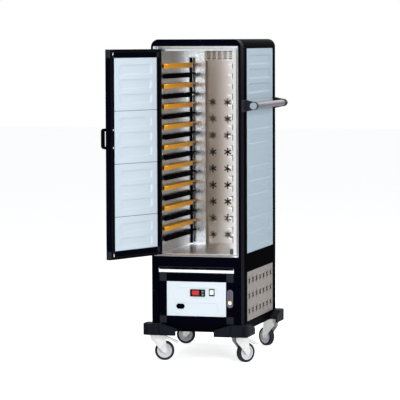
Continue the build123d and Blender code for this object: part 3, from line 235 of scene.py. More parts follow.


# %% [markdown]
# ### Painting by place
# Two finishes depend on where a point is. A box in Object coordinates can take another colour,
# for painted shade behind the duct and in the seams, painted highlights on the pale ends of the
# right-hand rails and a painted brighter compartment floor. A tint can also run across a sheet as
# painted shade and sheen. Both copy what the photograph shows from the front: they are painted,
# where a real sheet would show them by reflection.


# %% Tints by place
def tint_region(material, low, high, colour):
    """Gives a finish another colour inside a box. None leaves that side of the box open."""
    tree = material.node_tree
    shader = tree.nodes["Principled BSDF"]
    plain = shader.inputs["Base Color"].links[0].from_socket
    place = tree.nodes.new("ShaderNodeTexCoord")
    axes = tree.nodes.new("ShaderNodeSeparateXYZ")
    tree.links.new(place.outputs["Object"], axes.inputs[0])
    inside = None
    for corner, test in ((low, "GREATER_THAN"), (high, "LESS_THAN")):
        for axis, limit in enumerate(corner):
            if limit is None:
                continue
            check = tree.nodes.new("ShaderNodeMath")
            check.operation = test
            check.inputs[1].default_value = limit
            tree.links.new(axes.outputs[axis], check.inputs[0])
            if inside is None:
                inside = check.outputs[0]
                continue
            both = tree.nodes.new("ShaderNodeMath")
            both.operation = "MULTIPLY"
            tree.links.new(inside, both.inputs[0])
            tree.links.new(check.outputs[0], both.inputs[1])
            inside = both.outputs[0]
    change = tree.nodes.new("ShaderNodeMix")
    change.data_type = "RGBA"
    change.inputs[7].default_value = (*colour, 1)
    tree.links.new(inside, change.inputs[0])
    tree.links.new(plain, change.inputs[6])
    tree.links.new(change.outputs[2], shader.inputs["Base Color"])


def paint_shade_and_sheen_across(material, left, right, left_tint, right_tint):
    """Multiplies a finish by a tint that runs from left to right: painted shade and sheen across a
    sheet.
    """
    tree = material.node_tree
    shader = tree.nodes["Principled BSDF"]
    plain = shader.inputs["Base Color"].links[0].from_socket
    place = tree.nodes.new("ShaderNodeTexCoord")
    axes = tree.nodes.new("ShaderNodeSeparateXYZ")
    tree.links.new(place.outputs["Object"], axes.inputs[0])
    run = tree.nodes.new("ShaderNodeMapRange")
    run.interpolation_type = "SMOOTHSTEP"
    run.inputs["From Min"].default_value = left
    run.inputs["From Max"].default_value = right
    tree.links.new(axes.outputs["X"], run.inputs["Value"])
    tint = tree.nodes.new("ShaderNodeMix")
    tint.data_type = "RGBA"
    tint.inputs[6].default_value = (*left_tint, 1)
    tint.inputs[7].default_value = (*right_tint, 1)
    tree.links.new(run.outputs["Result"], tint.inputs[0])
    both = tree.nodes.new("ShaderNodeMix")
    both.data_type = "RGBA"
    both.blend_type = "MULTIPLY"
    both.inputs[0].default_value = 1.0
    tree.links.new(plain, both.inputs[6])
    tree.links.new(tint.outputs[2], both.inputs[7])
    tree.links.new(both.outputs[2], shader.inputs["Base Color"])


# %% [markdown]
# ### Plastics, paints, metals and foam
# The frames are near-black with a hint of navy and a low sheen. The ribbed skins are pale blue
# polyethylene, the compartment is polished stainless steel, and the vents are brushed steel that
# looks warm grey because it mirrors the room.

# %% Mix the finishes
navy_black = finish(
    "navy_black_frame", (0.0012, 0.0014, 0.0042), 0.34, shift=0.3, grain_depth=0.02, bend=1.022,
)
side_black = finish(
    "side_black_frame", (0.0008, 0.0008, 0.0016), 0.30, shift=0.3, grain_depth=0.02, bend=1.006,
)
deep_black = finish(
    "deep_black_plastic", (0.0012, 0.0012, 0.0026), 0.42, shift=0.3, grain_depth=0.03, bend=1.02,
)
bumper_black = finish(
    "bumper_moulding", (0.0105, 0.0120, 0.0165), 0.46, shift=0.35, broad=9, grain=700,
    grain_depth=0.05, bend=1.05,
)
door_skin = finish(
    "pale_blue_skin", (0.525, 0.610, 0.680), 0.5, specular=0.3, shift=0.02, grain_depth=0.03,
)
side_skin = finish(
    "blue_grey_skin", (0.355, 0.445, 0.515), 0.5, shift=0.03, grain_depth=0.03, bend=1.2,
)
machine_skin = finish(
    "white_machine_skin", (0.68, 0.75, 0.80), 0.5, specular=0.3, shift=0.015, grain_depth=0.03,
)
corner_grey = finish(
    "dark_grey_corner", (0.018, 0.019, 0.026), 0.5, shift=0.15, grain_depth=0.05, bend=1.1,
)
keeper_grey = finish(
    "keeper_grey", (0.060, 0.062, 0.070), 0.45, specular=0.3, shift=0.1, grain_depth=0.05,
)
strip_steel = finish(
    "strip_steel", (0.90, 0.92, 0.96), 0.36, metal=1, shift=0.02, grain=150, stretch=(9, 9, 0.3),
    grain_depth=0.004, gloss_spread=0.03,
)
deck_steel = finish(
    "deck_steel", (0.030, 0.032, 0.040), 0.40, metal=0.5, shift=0.12, grain=150,
    stretch=(0.4, 9, 9), grain_depth=0.004, bend=1.1,
)
liner_steel = finish(
    "liner_steel", (0.66, 0.68, 0.69), 0.27, metal=1, shift=0.03, grain=150, stretch=(9, 9, 0.3),
    grain_depth=0.003, gloss_spread=0.03,
)
# Painted shade: the liner and the back skin go near-black in the box behind the duct, where shadow
# falls.
DUCT_SHADE_LOW = (-0.113, 0.2655, None)
DUCT_SHADE_HIGH = (0.113, 0.3635, None)
DUCT_SHADE_COLOUR = (0.003, 0.003, 0.003)
for shaded_behind_duct in (liner_steel, side_skin):
    tint_region(shaded_behind_duct, DUCT_SHADE_LOW, DUCT_SHADE_HIGH, DUCT_SHADE_COLOUR)
# Painted light: the liner is paler below this height, a painted brighter floor of the compartment.
PAINTED_FLOOR_LIGHT_TO = (None, None, 0.556)
tint_region(liner_steel, (None, None, None), PAINTED_FLOOR_LIGHT_TO, (0.93, 0.94, 0.96))
floor_steel = finish(
    "tray_steel", (0.86, 0.87, 0.89), 0.22, metal=1, shift=0.02, grain=150, stretch=(0.4, 9, 9),
    grain_depth=0.004, gloss_spread=0.03,
)
duct_steel = finish(
    "duct_steel", (0.96, 0.95, 0.94), 0.30, metal=1, shift=0.03, grain=150, stretch=(9, 9, 0.3),
    grain_depth=0.003, gloss_spread=0.03,
)
# Painted shade and sheen: the duct darkens to warm grey at its left and runs to full brightness at
# its right.
paint_shade_and_sheen_across(duct_steel, -0.085, 0.080, (0.36, 0.315, 0.275), (1.0, 1.0, 1.0))
vent_steel = finish(
    "vent_steel", (0.215, 0.190, 0.170), 0.45, metal=0.4, shift=0.10, grain=150,
    stretch=(0.4, 0.4, 9), bend=1.2,
)
rail_orange = finish("rail_orange", (0.99, 0.47, 0.022), 0.45, shift=0.03, bend=1.3)
rail_black = finish("rail_black", (0.0014, 0.0014, 0.0026), 0.40, shift=0.3, bend=1.015)
# Painted highlight: the front ends of the right-hand rails turn pale, where they would catch the
# light.
RIGHT_RAIL_HIGHLIGHT_FROM = (0.12, None, None)
RAIL_HIGHLIGHT_TO = (None, -0.310, None)
RAIL_END_HIGHLIGHT = (0.80, 0.79, 0.77)
for rail_finish in (rail_orange, rail_black):
    tint_region(rail_finish, RIGHT_RAIL_HIGHLIGHT_FROM, RAIL_HIGHLIGHT_TO, RAIL_END_HIGHLIGHT)
bar_grey = finish("bar_mauve_grey", (0.098, 0.090, 0.108), 0.42, shift=0.08, bend=1.2)
cap_grey = finish("cap_light_grey", (0.27, 0.325, 0.365), 0.4, shift=0.04)
zinc = finish(
    "bright_zinc", (0.66, 0.66, 0.65), 0.30, metal=0.5, shift=0.30, broad=26, grain=200,
    grain_depth=0.05,
)
hub_grey = finish("hub_grey", (0.66, 0.67, 0.70), 0.42, shift=0.05)
tyre_grey = finish("tyre_dark", (0.020, 0.022, 0.034), 0.6, shift=0.2, grain_depth=0.1, bend=1.15)
gasket_black = finish(
    "gasket_rubber", (0.004, 0.004, 0.005), 0.7, shift=0.2, grain_depth=0.08, bend=1.05,
)
latch_mauve = finish("latch_mauve", (0.075, 0.066, 0.115), 0.4, shift=0.1)
latch_foot = finish("latch_foot", (0.12, 0.10, 0.135), 0.4, shift=0.08)
key_white = finish("switch_white", (0.82, 0.90, 0.86), 0.35, shift=0.02)
key_grey = finish("key_grey", (0.16, 0.20, 0.20), 0.45, shift=0.08)
case_dark = finish("control_case", (0.002, 0.008, 0.007), 0.34, shift=0.2, bend=1.1)
foam_cream = finish(
    "foam_cream", (0.72, 0.64, 0.42), 0.95, specular=0.1, shift=0.08, grain=900, grain_depth=0.3,
)
fin_dark = finish(
    "fin_aluminium", (0.014, 0.012, 0.011), 0.5, metal=0.6, shift=0.1, grain=80, stretch=(1, 6, 6),
)
copper = finish("copper_pipe", (0.30, 0.14, 0.08), 0.32, metal=1, shift=0.15, broad=14)
shell_black = finish("compressor_enamel", (0.012, 0.012, 0.014), 0.28, shift=0.2, coat=0.4)
print("Finishes mixed:", len(bpy.data.materials))

# %% [markdown]
# ### Small lights
# The thermostat has a red display and the latch has a warm pilot light. A finish with a little
# emission shows them lit without lighting the panel around them.


# %% Lit finishes
def lit_finish(name, colour, glow_level, rough=0.3):
    """A finish that also glows in its own colour."""
    material = finish(name, colour, rough, shift=0.05)
    shader = material.node_tree.nodes["Principled BSDF"]
    shader.inputs["Emission Color"].default_value = (*colour, 1)
    shader.inputs["Emission Strength"].default_value = glow_level
    return material


display_red = lit_finish("display_red", (0.42, 0.008, 0.016), 0.30)
pilot_yellow = lit_finish("pilot_yellow", (0.95, 0.80, 0.42), 0.5)

# %% [markdown]
# ## Giving each CAD node its finish
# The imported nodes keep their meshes. Only their material slots change.

# %% Assign the finishes
FINISH_OF = {
    "chassis": deep_black, "corner_bumpers": bumper_black, "castor_plates": zinc,
    "castor_bolts": zinc,
    "front_frame": navy_black, "frame_strip": strip_steel, "side_frames": side_black,
    "rear_frame": side_black, "roof_cover": side_black, "decks": deck_steel,
    "side_panels": side_skin, "back_panel": side_skin, "vent_panels": vent_steel,
    "inner_liner": liner_steel, "insulation": foam_cream, "duct_panels": duct_steel,
    "rack_uprights": deep_black, "orange_rails": rail_orange, "black_rails": rail_black,
    "evaporator_coil": fin_dark, "fan_shrouds": deep_black, "compressor": shell_black,
    "condenser_coil": fin_dark, "refrigerant_pipes": copper, "hinge_pins": zinc,
    "door_keeper": keeper_grey, "push_bar": bar_grey, "push_bar_brackets": corner_grey,
    "push_bar_caps": cap_grey, "door_frame": navy_black, "door_corner_blocks": corner_grey,
    "door_panels": door_skin, "door_core": foam_cream, "door_gasket": gasket_black,
    "door_handle": deep_black, "door_screws": zinc, "machine_door_frame": navy_black,
    "machine_door_corners": corner_grey, "machine_door_panel": machine_skin,
    "thermostat": case_dark, "rocker_frame": case_dark, "mains_inlet": deep_black,
    "latch_housing": latch_foot, "key_up": key_grey, "key_down": key_grey,
    "rocker_switch": key_white, "latch_button": latch_mauve, "drip_tray": floor_steel,
    "evaporator_fan": deep_black, "condenser_fan": deep_black,
}
for name, node in nodes.items():
    kind = FINISH_OF.get(name)
    if name.startswith("castor_fork"):
        kind = zinc
    if name.startswith("castor_wheel"):
        kind = hub_grey
    if name.startswith("brake_pedal"):
        kind = zinc
    for slot in node.material_slots:
        slot.material = kind
print("Dressed nodes:", len(nodes))


# %% [markdown]
# ## Small helpers
# A finished piece is a plain mesh whose object stays at the origin, so its place is in its
# vertices. These helpers bake a Geometry Nodes object down to that and fasten it to a body.


# %% Bake and fasten
def bake(source, name, placement=Matrix.Identity(4)):
    """Turns an object with live modifiers into a plain mesh object at the origin."""
    bpy.context.view_layer.update()
    ready = source.evaluated_get(bpy.context.evaluated_depsgraph_get())
    mesh = bpy.data.meshes.new_from_object(ready)
    mesh.transform(placement)
    mesh.name = name
    bpy.data.objects.remove(source)
    piece = bpy.data.objects.new(name, mesh)
    bpy.context.scene.collection.objects.link(piece)
    return piece


def place_piece(piece, body, slot_name, *stands_for):
    """Fastens a piece to its body and hides the CAD nodes it stands for."""
    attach(piece, body)
    if stands_for:
        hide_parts(*stands_for)
    faces = len(piece.data.polygons)
    print(piece.name, "on", body, "faces", faces)


def calc(tree, operation, first, second=None):
    """A Math node with sockets or plain numbers as inputs; gives back its output socket."""
    node = tree.nodes.new("ShaderNodeMath")
    node.operation = operation
    for index, value in enumerate((first, second)):
        if value is None:
            continue
        if isinstance(value, (int, float)):
            node.inputs[index].default_value = value
        else:
            tree.links.new(value, node.inputs[index])
    return node.outputs[0]


def set_inputs(modifier, values):
    """Sets a Geometry Nodes modifier's inputs, found by name, through their identifiers."""
    for item in modifier.node_group.interface.items_tree:
        if item.item_type == "SOCKET" and item.in_out == "INPUT" and item.name in values:
            modifier[item.identifier] = values[item.name]


# %% [markdown]
# ## Ribbed skins
# The pale panels are twin-sheet plastic with long rounded ribs pressed in, three to a module, and
# a fine seam between modules. The ribs repeat by a rule, so one Geometry Nodes tree makes every
# skin: a grid whose points sink by their distance to the nearest rounded rib. The slope at each
# rib's edge is what catches the light, so it must be soft.


# %% The skin tree
def skin_tree():
    """Geometry Nodes tree for a ribbed skin lying in the XY plane, ribs sunk along -Z."""
    tree = bpy.data.node_groups.new("ribbed_skin", "GeometryNodeTree")
    tree.interface.new_socket("Geometry", in_out="OUTPUT", socket_type="NodeSocketGeometry")
    for name in ("Width", "Height", "Rib Width", "Rib Height", "Module", "Pitch", "Top Margin",
                 "Corner", "Depth", "Slope", "Step", "Seam"):
        tree.interface.new_socket(name, in_out="INPUT", socket_type="NodeSocketFloat")
    tree.interface.new_socket("Finish", in_out="INPUT", socket_type="NodeSocketMaterial")
    given = tree.nodes.new("NodeGroupInput").outputs
    grid = tree.nodes.new("GeometryNodeMeshGrid")
    tree.links.new(given["Width"], grid.inputs["Size X"])
    tree.links.new(given["Height"], grid.inputs["Size Y"])
    tree.links.new(calc(tree, "DIVIDE", given["Width"], given["Step"]), grid.inputs["Vertices X"])
    tree.links.new(calc(tree, "DIVIDE", given["Height"], given["Step"]), grid.inputs["Vertices Y"])
    position = tree.nodes.new("GeometryNodeInputPosition")
    parts = tree.nodes.new("ShaderNodeSeparateXYZ")
    tree.links.new(position.outputs[0], parts.inputs[0])
    across, upward = parts.outputs["X"], parts.outputs["Y"]

    # Which module and which rib of it a point belongs to, counted from the top
    from_top = calc(tree, "SUBTRACT", calc(tree, "DIVIDE", given["Height"], 2.0), upward)
    module = calc(tree, "FLOOR", calc(tree, "DIVIDE", from_top, given["Module"]))
    in_module = calc(tree, "SUBTRACT", from_top, calc(tree, "MULTIPLY", module, given["Module"]))
    lead = calc(tree, "SUBTRACT", in_module, given["Top Margin"])
    half_gap = calc(tree, "SUBTRACT", given["Pitch"], given["Rib Height"])
    half_gap = calc(tree, "DIVIDE", half_gap, 2.0)
    index = calc(tree, "DIVIDE", calc(tree, "ADD", lead, half_gap), given["Pitch"])
    index = calc(tree, "FLOOR", index)
    index = calc(tree, "MAXIMUM", calc(tree, "MINIMUM", index, 2.0), 0.0)
    half_rib = calc(tree, "DIVIDE", given["Rib Height"], 2.0)
    middle = calc(tree, "ADD", calc(tree, "MULTIPLY", index, given["Pitch"]), half_rib)
    off_middle = calc(tree, "ABSOLUTE", calc(tree, "SUBTRACT", lead, middle))

    # Distance to the rounded outline of that rib, negative inside
    reach_x = calc(tree, "SUBTRACT", calc(tree, "DIVIDE", given["Rib Width"], 2.0), given["Corner"])
    reach_y = calc(tree, "SUBTRACT", half_rib, given["Corner"])
    beyond_x = calc(tree, "SUBTRACT", calc(tree, "ABSOLUTE", across), reach_x)
    beyond_x = calc(tree, "MAXIMUM", beyond_x, 0.0)
    beyond_y = calc(tree, "MAXIMUM", calc(tree, "SUBTRACT", off_middle, reach_y), 0.0)
    square_x, square_y = calc(tree, "POWER", beyond_x, 2.0), calc(tree, "POWER", beyond_y, 2.0)
    square = calc(tree, "ADD", square_x, square_y)
    distance = calc(tree, "SUBTRACT", calc(tree, "SQRT", square), given["Corner"])
    fall = tree.nodes.new("ShaderNodeMapRange")
    fall.interpolation_type = "SMOOTHERSTEP"
    tree.links.new(distance, fall.inputs["Value"])
    tree.links.new(calc(tree, "MULTIPLY", given["Slope"], -1.0), fall.inputs["From Min"])
    fall.inputs["From Max"].default_value = 0.0
    fall.inputs["To Min"].default_value = 1.0
    fall.inputs["To Max"].default_value = 0.0

    # No rib where it would run off the lower edge
    rib_foot = calc(tree, "MULTIPLY", module, given["Module"])
    rib_foot = calc(tree, "ADD", rib_foot, given["Top Margin"])
    rib_foot = calc(tree, "ADD", rib_foot, calc(tree, "ADD", middle, half_rib))
    fits = calc(tree, "LESS_THAN", rib_foot, calc(tree, "SUBTRACT", given["Height"], 0.010))
    sink = calc(tree, "MULTIPLY", fall.outputs["Result"], fits)
    sink = calc(tree, "MULTIPLY", sink, given["Depth"])

    # A fine seam at every module edge but the top one
    to_seam = calc(tree, "MINIMUM", in_module, calc(tree, "SUBTRACT", given["Module"], in_module))
    seam = calc(tree, "MULTIPLY", calc(tree, "LESS_THAN", to_seam, 0.0016), given["Seam"])
    seam = calc(tree, "MULTIPLY", seam, calc(tree, "GREATER_THAN", from_top, 0.010))
    lower = calc(tree, "MULTIPLY", calc(tree, "ADD", sink, seam), -1.0)
    offset = tree.nodes.new("ShaderNodeCombineXYZ")
    tree.links.new(lower, offset.inputs["Z"])
    move = tree.nodes.new("GeometryNodeSetPosition")
    tree.links.new(grid.outputs["Mesh"], move.inputs["Geometry"])
    tree.links.new(offset.outputs[0], move.inputs["Offset"])
    smooth = tree.nodes.new("GeometryNodeSetShadeSmooth")
    tree.links.new(move.outputs[0], smooth.inputs["Geometry"])
    real = tree.nodes.new("GeometryNodeRealizeInstances")
    tree.links.new(smooth.outputs[0], real.inputs[0])
    coat = tree.nodes.new("GeometryNodeSetMaterial")
    tree.links.new(real.outputs[0], coat.inputs["Geometry"])
    tree.links.new(given["Finish"], coat.inputs["Material"])
    out = tree.nodes.new("NodeGroupOutput")
    tree.links.new(coat.outputs[0], out.inputs[0])
    return tree


RIBBED_SKIN = skin_tree()
print("Skin tree nodes:", len(RIBBED_SKIN.nodes))

# %% [markdown]
# ### Pressing the skins
# The modifier makes the sheet, Solidify gives it its wall, and the matrix lays it on the cabinet:
# its X runs along the panel, its Y up, and its Z out of the visible face.

# %% Sizes that the skins share
RIB = {"Rib Height": 0.052, "Module": 0.2632, "Pitch": 0.0727, "Top Margin": 0.032,
       "Corner": 0.018, "Depth": 0.0055, "Slope": 0.009, "Step": 0.0030, "Seam": 0.0015}
SKIN_WALL = 0.0025
RIB_MARGINS = 0.076
SEAM_SHADE_COLOUR = (0.16, 0.20, 0.24)
SEAM_HALF = 0.0017

# Painted shade: dark hairlines where the door's moulded modules meet, for the shadow in each seam
# groove
door_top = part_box("door_panels")[1].z
for seam in (1, 2, 3):
    level = door_top - seam * RIB["Module"]
    under, over = (None, None, level - SEAM_HALF), (None, None, level + SEAM_HALF)
    tint_region(door_skin, under, over, SEAM_SHADE_COLOUR)


def press_skin(name, width, height, rib_width, centre, along, outward, material):
    """One ribbed sheet, centred at a point, its width along one direction and its face outward."""
    sheet = bpy.data.objects.new(name, bpy.data.meshes.new(name))
    bpy.context.scene.collection.objects.link(sheet)
    ribs = sheet.modifiers.new("ribs", "NODES")
    ribs.node_group = RIBBED_SKIN
    sizes = dict(RIB, Width=width, Height=height, Finish=material)
    sizes["Rib Width"] = rib_width
    set_inputs(ribs, sizes)
    wall = sheet.modifiers.new("wall", "SOLIDIFY")
    wall.thickness = SKIN_WALL
    wall.offset = -1
    along = Vector(along).normalized()
    outward = Vector(outward).normalized()
    turn = Matrix((along, outward.cross(along), outward)).transposed().to_4x4()
    return bake(sheet, name, Matrix.Translation(Vector(centre)) @ turn)


# %% Side, back and door skins
low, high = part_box("side_panels")
side_centre_y = (low.y + high.y) / 2
side_centre_z = (low.z + high.z) / 2
side_long = high.y - low.y
side_tall = high.z - low.z
for side, name in ((1, "right_side_skin"), (-1, "left_side_skin")):
    skin = press_skin(
        name, side_long, side_tall, side_long - RIB_MARGINS,
        (side * high.x, side_centre_y, side_centre_z), (0, side, 0), (side, 0, 0), side_skin,
    )
    if side == 1:
        place_piece(skin, "cabinet", "side_skin", "side_panels")
    else:
        place_piece(skin, "cabinet", "side_skin")

low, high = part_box("back_panel")
back_skin = press_skin(
    "back_skin", high.x - low.x, high.z - low.z, high.x - low.x - RIB_MARGINS,
    (0, high.y, (low.z + high.z) / 2), (-1, 0, 0), (0, 1, 0), side_skin,
)
place_piece(back_skin, "cabinet", "side_skin", "back_panel")

DOOR_OPEN = math.radians(112.5)
door_along = Vector((math.cos(-DOOR_OPEN), math.sin(-DOOR_OPEN), 0))
door_inward = Vector((-door_along.y, door_along.x, 0))
door_axis = Vector((-0.2005, -0.3665, 0))
DOOR_MIDDLE_ALONG = 0.2005
DOOR_MIDDLE_HEIGHT = 1.0695
DOOR_SKIN_WIDE = 0.3332
DOOR_SKIN_TALL = 0.9584
DOOR_RIB_WIDE = 0.258
for name, depth, facing in (("door_inner_skin", 0.022, 1), ("door_outer_skin", -0.005, -1)):
    middle = door_axis + door_along * DOOR_MIDDLE_ALONG + door_inward * depth
    middle = middle + Vector((0, 0, DOOR_MIDDLE_HEIGHT))
    skin = press_skin(
        name, DOOR_SKIN_WIDE, DOOR_SKIN_TALL, DOOR_RIB_WIDE,
        middle, door_along * -facing, door_inward * facing, door_skin,
    )
    if facing == 1:
        place_piece(skin, "main_door", "white_skin", "door_panels")
    else:
        place_piece(skin, "main_door", "white_skin")

# %% [markdown]
# ## Two-part wheels
# In CAD hub and tyre share a node. Here each wheel is split by distance from its axle, so that
# the tyre gets dark rubber and the hub stays light.

# %% Hubs and tyres
TYRE_INNER_RADIUS = 0.0379


def from_axle(point, centre, axle):
    """How far a point is from the axle's line."""
    arm = point - centre
    return (arm - axle * arm.dot(axle)).length


def belongs_to_tyre(mesh, face, centre, axle):
    """A face is the tyre's when its middle, or every corner, lies outside the hub."""
    corners = [mesh.vertices[index].co for index in face.vertices]
    nearest = min(from_axle(corner, centre, axle) for corner in corners)
    return max(from_axle(face.center, centre, axle), nearest) > TYRE_INNER_RADIUS


for name, node in nodes.items():
    if not name.startswith("castor_wheel"):
        continue
    body = name.replace("castor_wheel", "wheel")
    joint = next(j for j in frame["joints"] if j["child"] == body)
    axle = Vector(joint["axis"]).normalized()
    centre = Vector(joint["pos_m"])
    for part, material, slot_name in (("tyre", tyre_grey, "rubber"), ("hub", hub_grey, "wheel")):
        mesh = node.data.copy()
        mesh.materials.clear()
        mesh.materials.append(material)
        piece = bpy.data.objects.new(name.replace("castor_wheel", part), mesh)
        bpy.context.scene.collection.objects.link(piece)
        drop = [
            face.index for face in mesh.polygons
            if belongs_to_tyre(mesh, face, centre, axle) != (part == "tyre")
        ]
        work = bmesh.new()
        work.from_mesh(mesh)
        work.faces.ensure_lookup_table()
        bmesh.ops.delete(work, geom=[work.faces[i] for i in drop], context="FACES")
        work.to_mesh(mesh)
        work.free()
        if part == "tyre":
            place_piece(piece, body, slot_name, name)
        else:
            place_piece(piece, body, slot_name)

# %% [markdown]
# ## Ring screws
# The corner blocks of the doors are held by screws with a ring-shaped cup. They are all alike,
# so one Geometry Nodes tree sweeps a round wire along a circle and sets a copy of that ring on
# each point of a point mesh.


# %% The cup tree
def cup_tree():
    """Geometry Nodes tree: a ring-shaped cup on each vertex, all turned the same way."""
    tree = bpy.data.node_groups.new("ring_cups", "GeometryNodeTree")
    tree.interface.new_socket("Geometry", in_out="INPUT", socket_type="NodeSocketGeometry")
    tree.interface.new_socket("Geometry", in_out="OUTPUT", socket_type="NodeSocketGeometry")
    for name in ("Ring Radius", "Wire"):
        tree.interface.new_socket(name, in_out="INPUT", socket_type="NodeSocketFloat")
    tree.interface.new_socket("Turn", in_out="INPUT", socket_type="NodeSocketVector")
    tree.interface.new_socket("Finish", in_out="INPUT", socket_type="NodeSocketMaterial")
    given = tree.nodes.new("NodeGroupInput").outputs
    ring = tree.nodes.new("GeometryNodeCurvePrimitiveCircle")
    ring.inputs["Resolution"].default_value = 20
    tree.links.new(given["Ring Radius"], ring.inputs["Radius"])
    wire = tree.nodes.new("GeometryNodeCurvePrimitiveCircle")
    wire.inputs["Resolution"].default_value = 8
    tree.links.new(given["Wire"], wire.inputs["Radius"])
    sweep = tree.nodes.new("GeometryNodeCurveToMesh")
    tree.links.new(ring.outputs["Curve"], sweep.inputs["Curve"])
    tree.links.new(wire.outputs["Curve"], sweep.inputs["Profile Curve"])
    copies = tree.nodes.new("GeometryNodeInstanceOnPoints")
    tree.links.new(given["Geometry"], copies.inputs["Points"])
    tree.links.new(sweep.outputs["Mesh"], copies.inputs["Instance"])
    tree.links.new(given["Turn"], copies.inputs["Rotation"])
    real = tree.nodes.new("GeometryNodeRealizeInstances")
    tree.links.new(copies.outputs["Instances"], real.inputs[0])
    smooth = tree.nodes.new("GeometryNodeSetShadeSmooth")
    tree.links.new(real.outputs[0], smooth.inputs["Geometry"])
    coat = tree.nodes.new("GeometryNodeSetMaterial")
    tree.links.new(smooth.outputs[0], coat.inputs["Geometry"])
    tree.links.new(given["Finish"], coat.inputs["Material"])
    out = tree.nodes.new("NodeGroupOutput")
    tree.links.new(coat.outputs[0], out.inputs[0])
    return tree


RING_CUPS = cup_tree()


def set_cups(name, points, turn, ring_radius, wire, material):
    """Ring cups at a list of points, as one plain mesh."""
    mesh = bpy.data.meshes.new(name)
    mesh.from_pydata(points, [], [])
    holder = bpy.data.objects.new(name, mesh)
    bpy.context.scene.collection.objects.link(holder)
    cups = holder.modifiers.new("cups", "NODES")
    cups.node_group = RING_CUPS
    set_inputs(cups, {"Ring Radius": ring_radius, "Wire": wire, "Turn": turn, "Finish": material})
    return bake(holder, name)


# %% Cups on the open door's inner face
def door_point(along, inward, height):
    """A point of the door from its own width, depth and height, in metres."""
    return door_axis + door_along * along + door_inward * inward + Vector((0, 0, height))


cup_white = finish("cup_white", (0.80, 0.82, 0.84), 0.4, shift=0.04)
face_turn = (math.pi / 2, 0, math.atan2(door_inward.x, -door_inward.y))
door_cups = set_cups(
    "door_ring_cups", [door_point(0.3872, 0.0236, height) for height in (0.5690, 1.5700)],
    face_turn, 0.0080, 0.0024, cup_white,
)
place_piece(door_cups, "main_door", "zinc")

# %% [markdown]
# ## Machine door fittings
# The controller's left half is a red display behind a dark window, and the latch carries a warm
# pilot lamp. Both are small domed plates: a rounded outline that is filled, then given a wall and a
# bevelled edge.


# %% Small rounded plates
def rounded_plate(name, centre, width, height, corner, thick, material):
    """A plate facing -Y with round corners and a soft edge."""
    outline = []
    for cx, cz, start in ((1, 1, 0), (-1, 1, 90), (-1, -1, 180), (1, -1, 270)):
        for step in range(7):
            angle = math.radians(start + step * 15)
            outline.append((
                centre[0] + cx * (width / 2 - corner) + corner * math.cos(angle), centre[1],
                centre[2] + cz * (height / 2 - corner) + corner * math.sin(angle),
            ))
    mesh = bpy.data.meshes.new(name)
    mesh.from_pydata(outline, [], [list(range(len(outline)))])
    plate = bpy.data.objects.new(name, mesh)
    bpy.context.scene.collection.objects.link(plate)
    mesh.materials.append(material)
    wall = plate.modifiers.new("wall", "SOLIDIFY")
    wall.thickness = thick
    wall.offset = 0
    edge = plate.modifiers.new("edge", "BEVEL")
    edge.width = thick * 0.35
    edge.segments = 2
    return bake(plate, name)


low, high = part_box("thermostat")
case_wide = high.x - low.x
display = rounded_plate(
    "display_window", (low.x + case_wide * 0.365, low.y - 0.0002, (low.z + high.z) / 2 + 0.0005),
    case_wide * 0.47, (high.z - low.z) * 0.66, 0.003, 0.0012, display_red,
)
place_piece(display, "machine_door", "dark_gloss")
low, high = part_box("latch_housing")
pilot = rounded_plate(
    "pilot_lamp", ((low.x + high.x) / 2, low.y - 0.0002, low.z + 0.0265),
    0.0165, 0.0165, 0.005, 0.0016, pilot_yellow,
)
place_piece(pilot, "machine_door", "light_grey")

# %% [markdown]
# ## Bumpers with draining slots
# Each corner bumper has narrow upright slots. The bumper's own CAD shape is copied and merged,
# the slots are cut with a Boolean, and a small bevel rounds the moulding's edges.


# %% Copy, merge and soften
def merged_copy(node_name, piece_name, material):
    """A CAD node's shape as one connected mesh with flat faces, in its own place."""
    mesh = nodes[node_name].data.copy()
    mesh.transform(nodes[node_name].matrix_world)
    mesh.materials.clear()
    mesh.materials.append(material)
    work = bmesh.new()
    work.from_mesh(mesh)
    bmesh.ops.remove_doubles(work, verts=work.verts, dist=0.00001)
    bmesh.ops.dissolve_limit(work, angle_limit=0.02, verts=work.verts, edges=work.edges)
    work.to_mesh(mesh)
    work.free()
    piece = bpy.data.objects.new(piece_name, mesh)
    bpy.context.scene.collection.objects.link(piece)
    return piece


def soften_edges(piece, width, segments):
    """A small bevel on every sharp edge."""
    soft = piece.modifiers.new("edges", "BEVEL")
    soft.width = width
    soft.segments = segments
    soft.limit_method = "ANGLE"


# %% Cut the bumpers
def upright_block(name, low_corner, high_corner):
    """A box between two corners, for cutting."""
    mesh = bpy.data.meshes.new(name)
    work = bmesh.new()
    bmesh.ops.create_cube(work, size=1)
    size = Vector(high_corner) - Vector(low_corner)
    middle = (Vector(high_corner) + Vector(low_corner)) / 2
    bmesh.ops.scale(work, vec=size, verts=work.verts)
    bmesh.ops.translate(work, vec=middle, verts=work.verts)
    work.to_mesh(mesh)
    work.free()
    return mesh


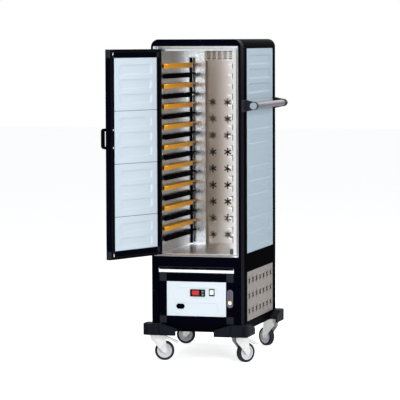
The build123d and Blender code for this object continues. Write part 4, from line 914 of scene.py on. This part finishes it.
SLOT_MIDDLES = (0.188, 0.258)
SLOT_HALF = 0.005
SLOT_DEEP = 0.006
SIDE_SLOT_INSET = 0.040
SLOT_BELOW = 0.010
SLOT_ROOF = 0.008

low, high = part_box("corner_bumpers")
foot, roof = low.z - SLOT_BELOW, high.z - SLOT_ROOF
cutters = bmesh.new()
for side in (-1, 1):
    for end, edge_y in ((-1, low.y), (1, high.y)):
        for middle in SLOT_MIDDLES:
            cutters.from_mesh(upright_block(
                "slot", (side * middle - SLOT_HALF, edge_y - SLOT_DEEP, foot),
                (side * middle + SLOT_HALF, edge_y + SLOT_DEEP, roof),
            ))
        slot_y = edge_y - end * SIDE_SLOT_INSET
        cutters.from_mesh(upright_block(
            "slot", (side * high.x - SLOT_DEEP, slot_y - SLOT_HALF, foot),
            (side * high.x + SLOT_DEEP, slot_y + SLOT_HALF, roof),
        ))
cutter_mesh = bpy.data.meshes.new("slot_cutters")
cutters.to_mesh(cutter_mesh)
cutters.free()
cutter = bpy.data.objects.new("slot_cutters", cutter_mesh)
bpy.context.scene.collection.objects.link(cutter)
bumpers = merged_copy("corner_bumpers", "slotted_bumpers", bumper_black)
cut = bumpers.modifiers.new("slots", "BOOLEAN")
cut.operation = "DIFFERENCE"
cut.object = cutter
cut.solver = "EXACT"
soften_edges(bumpers, 0.0015, 2)
bumpers = bake(bumpers, "slotted_bumpers")
bpy.data.objects.remove(cutter)
low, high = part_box("corner_bumpers")
for point in bumpers.data.vertices:
    for axis in range(3):
        point.co[axis] = min(high[axis], max(low[axis], point.co[axis]))
place_piece(bumpers, "cabinet", "black_plastic", "corner_bumpers")

# %% [markdown]
# ## Machine door panel
# The panel's two pressed ribs show as soft shadows, because a thermoformed sheet has no sharp
# edges. The CAD shape is copied and merged, and a small bevel rounds every edge.

# %% Soften the machine door panel
panel = merged_copy("machine_door_panel", "soft_machine_panel", machine_skin)
soften_edges(panel, 0.0013, 3)
panel = bake(panel, "soft_machine_panel")
place_piece(panel, "machine_door", "panel_skin", "machine_door_panel")
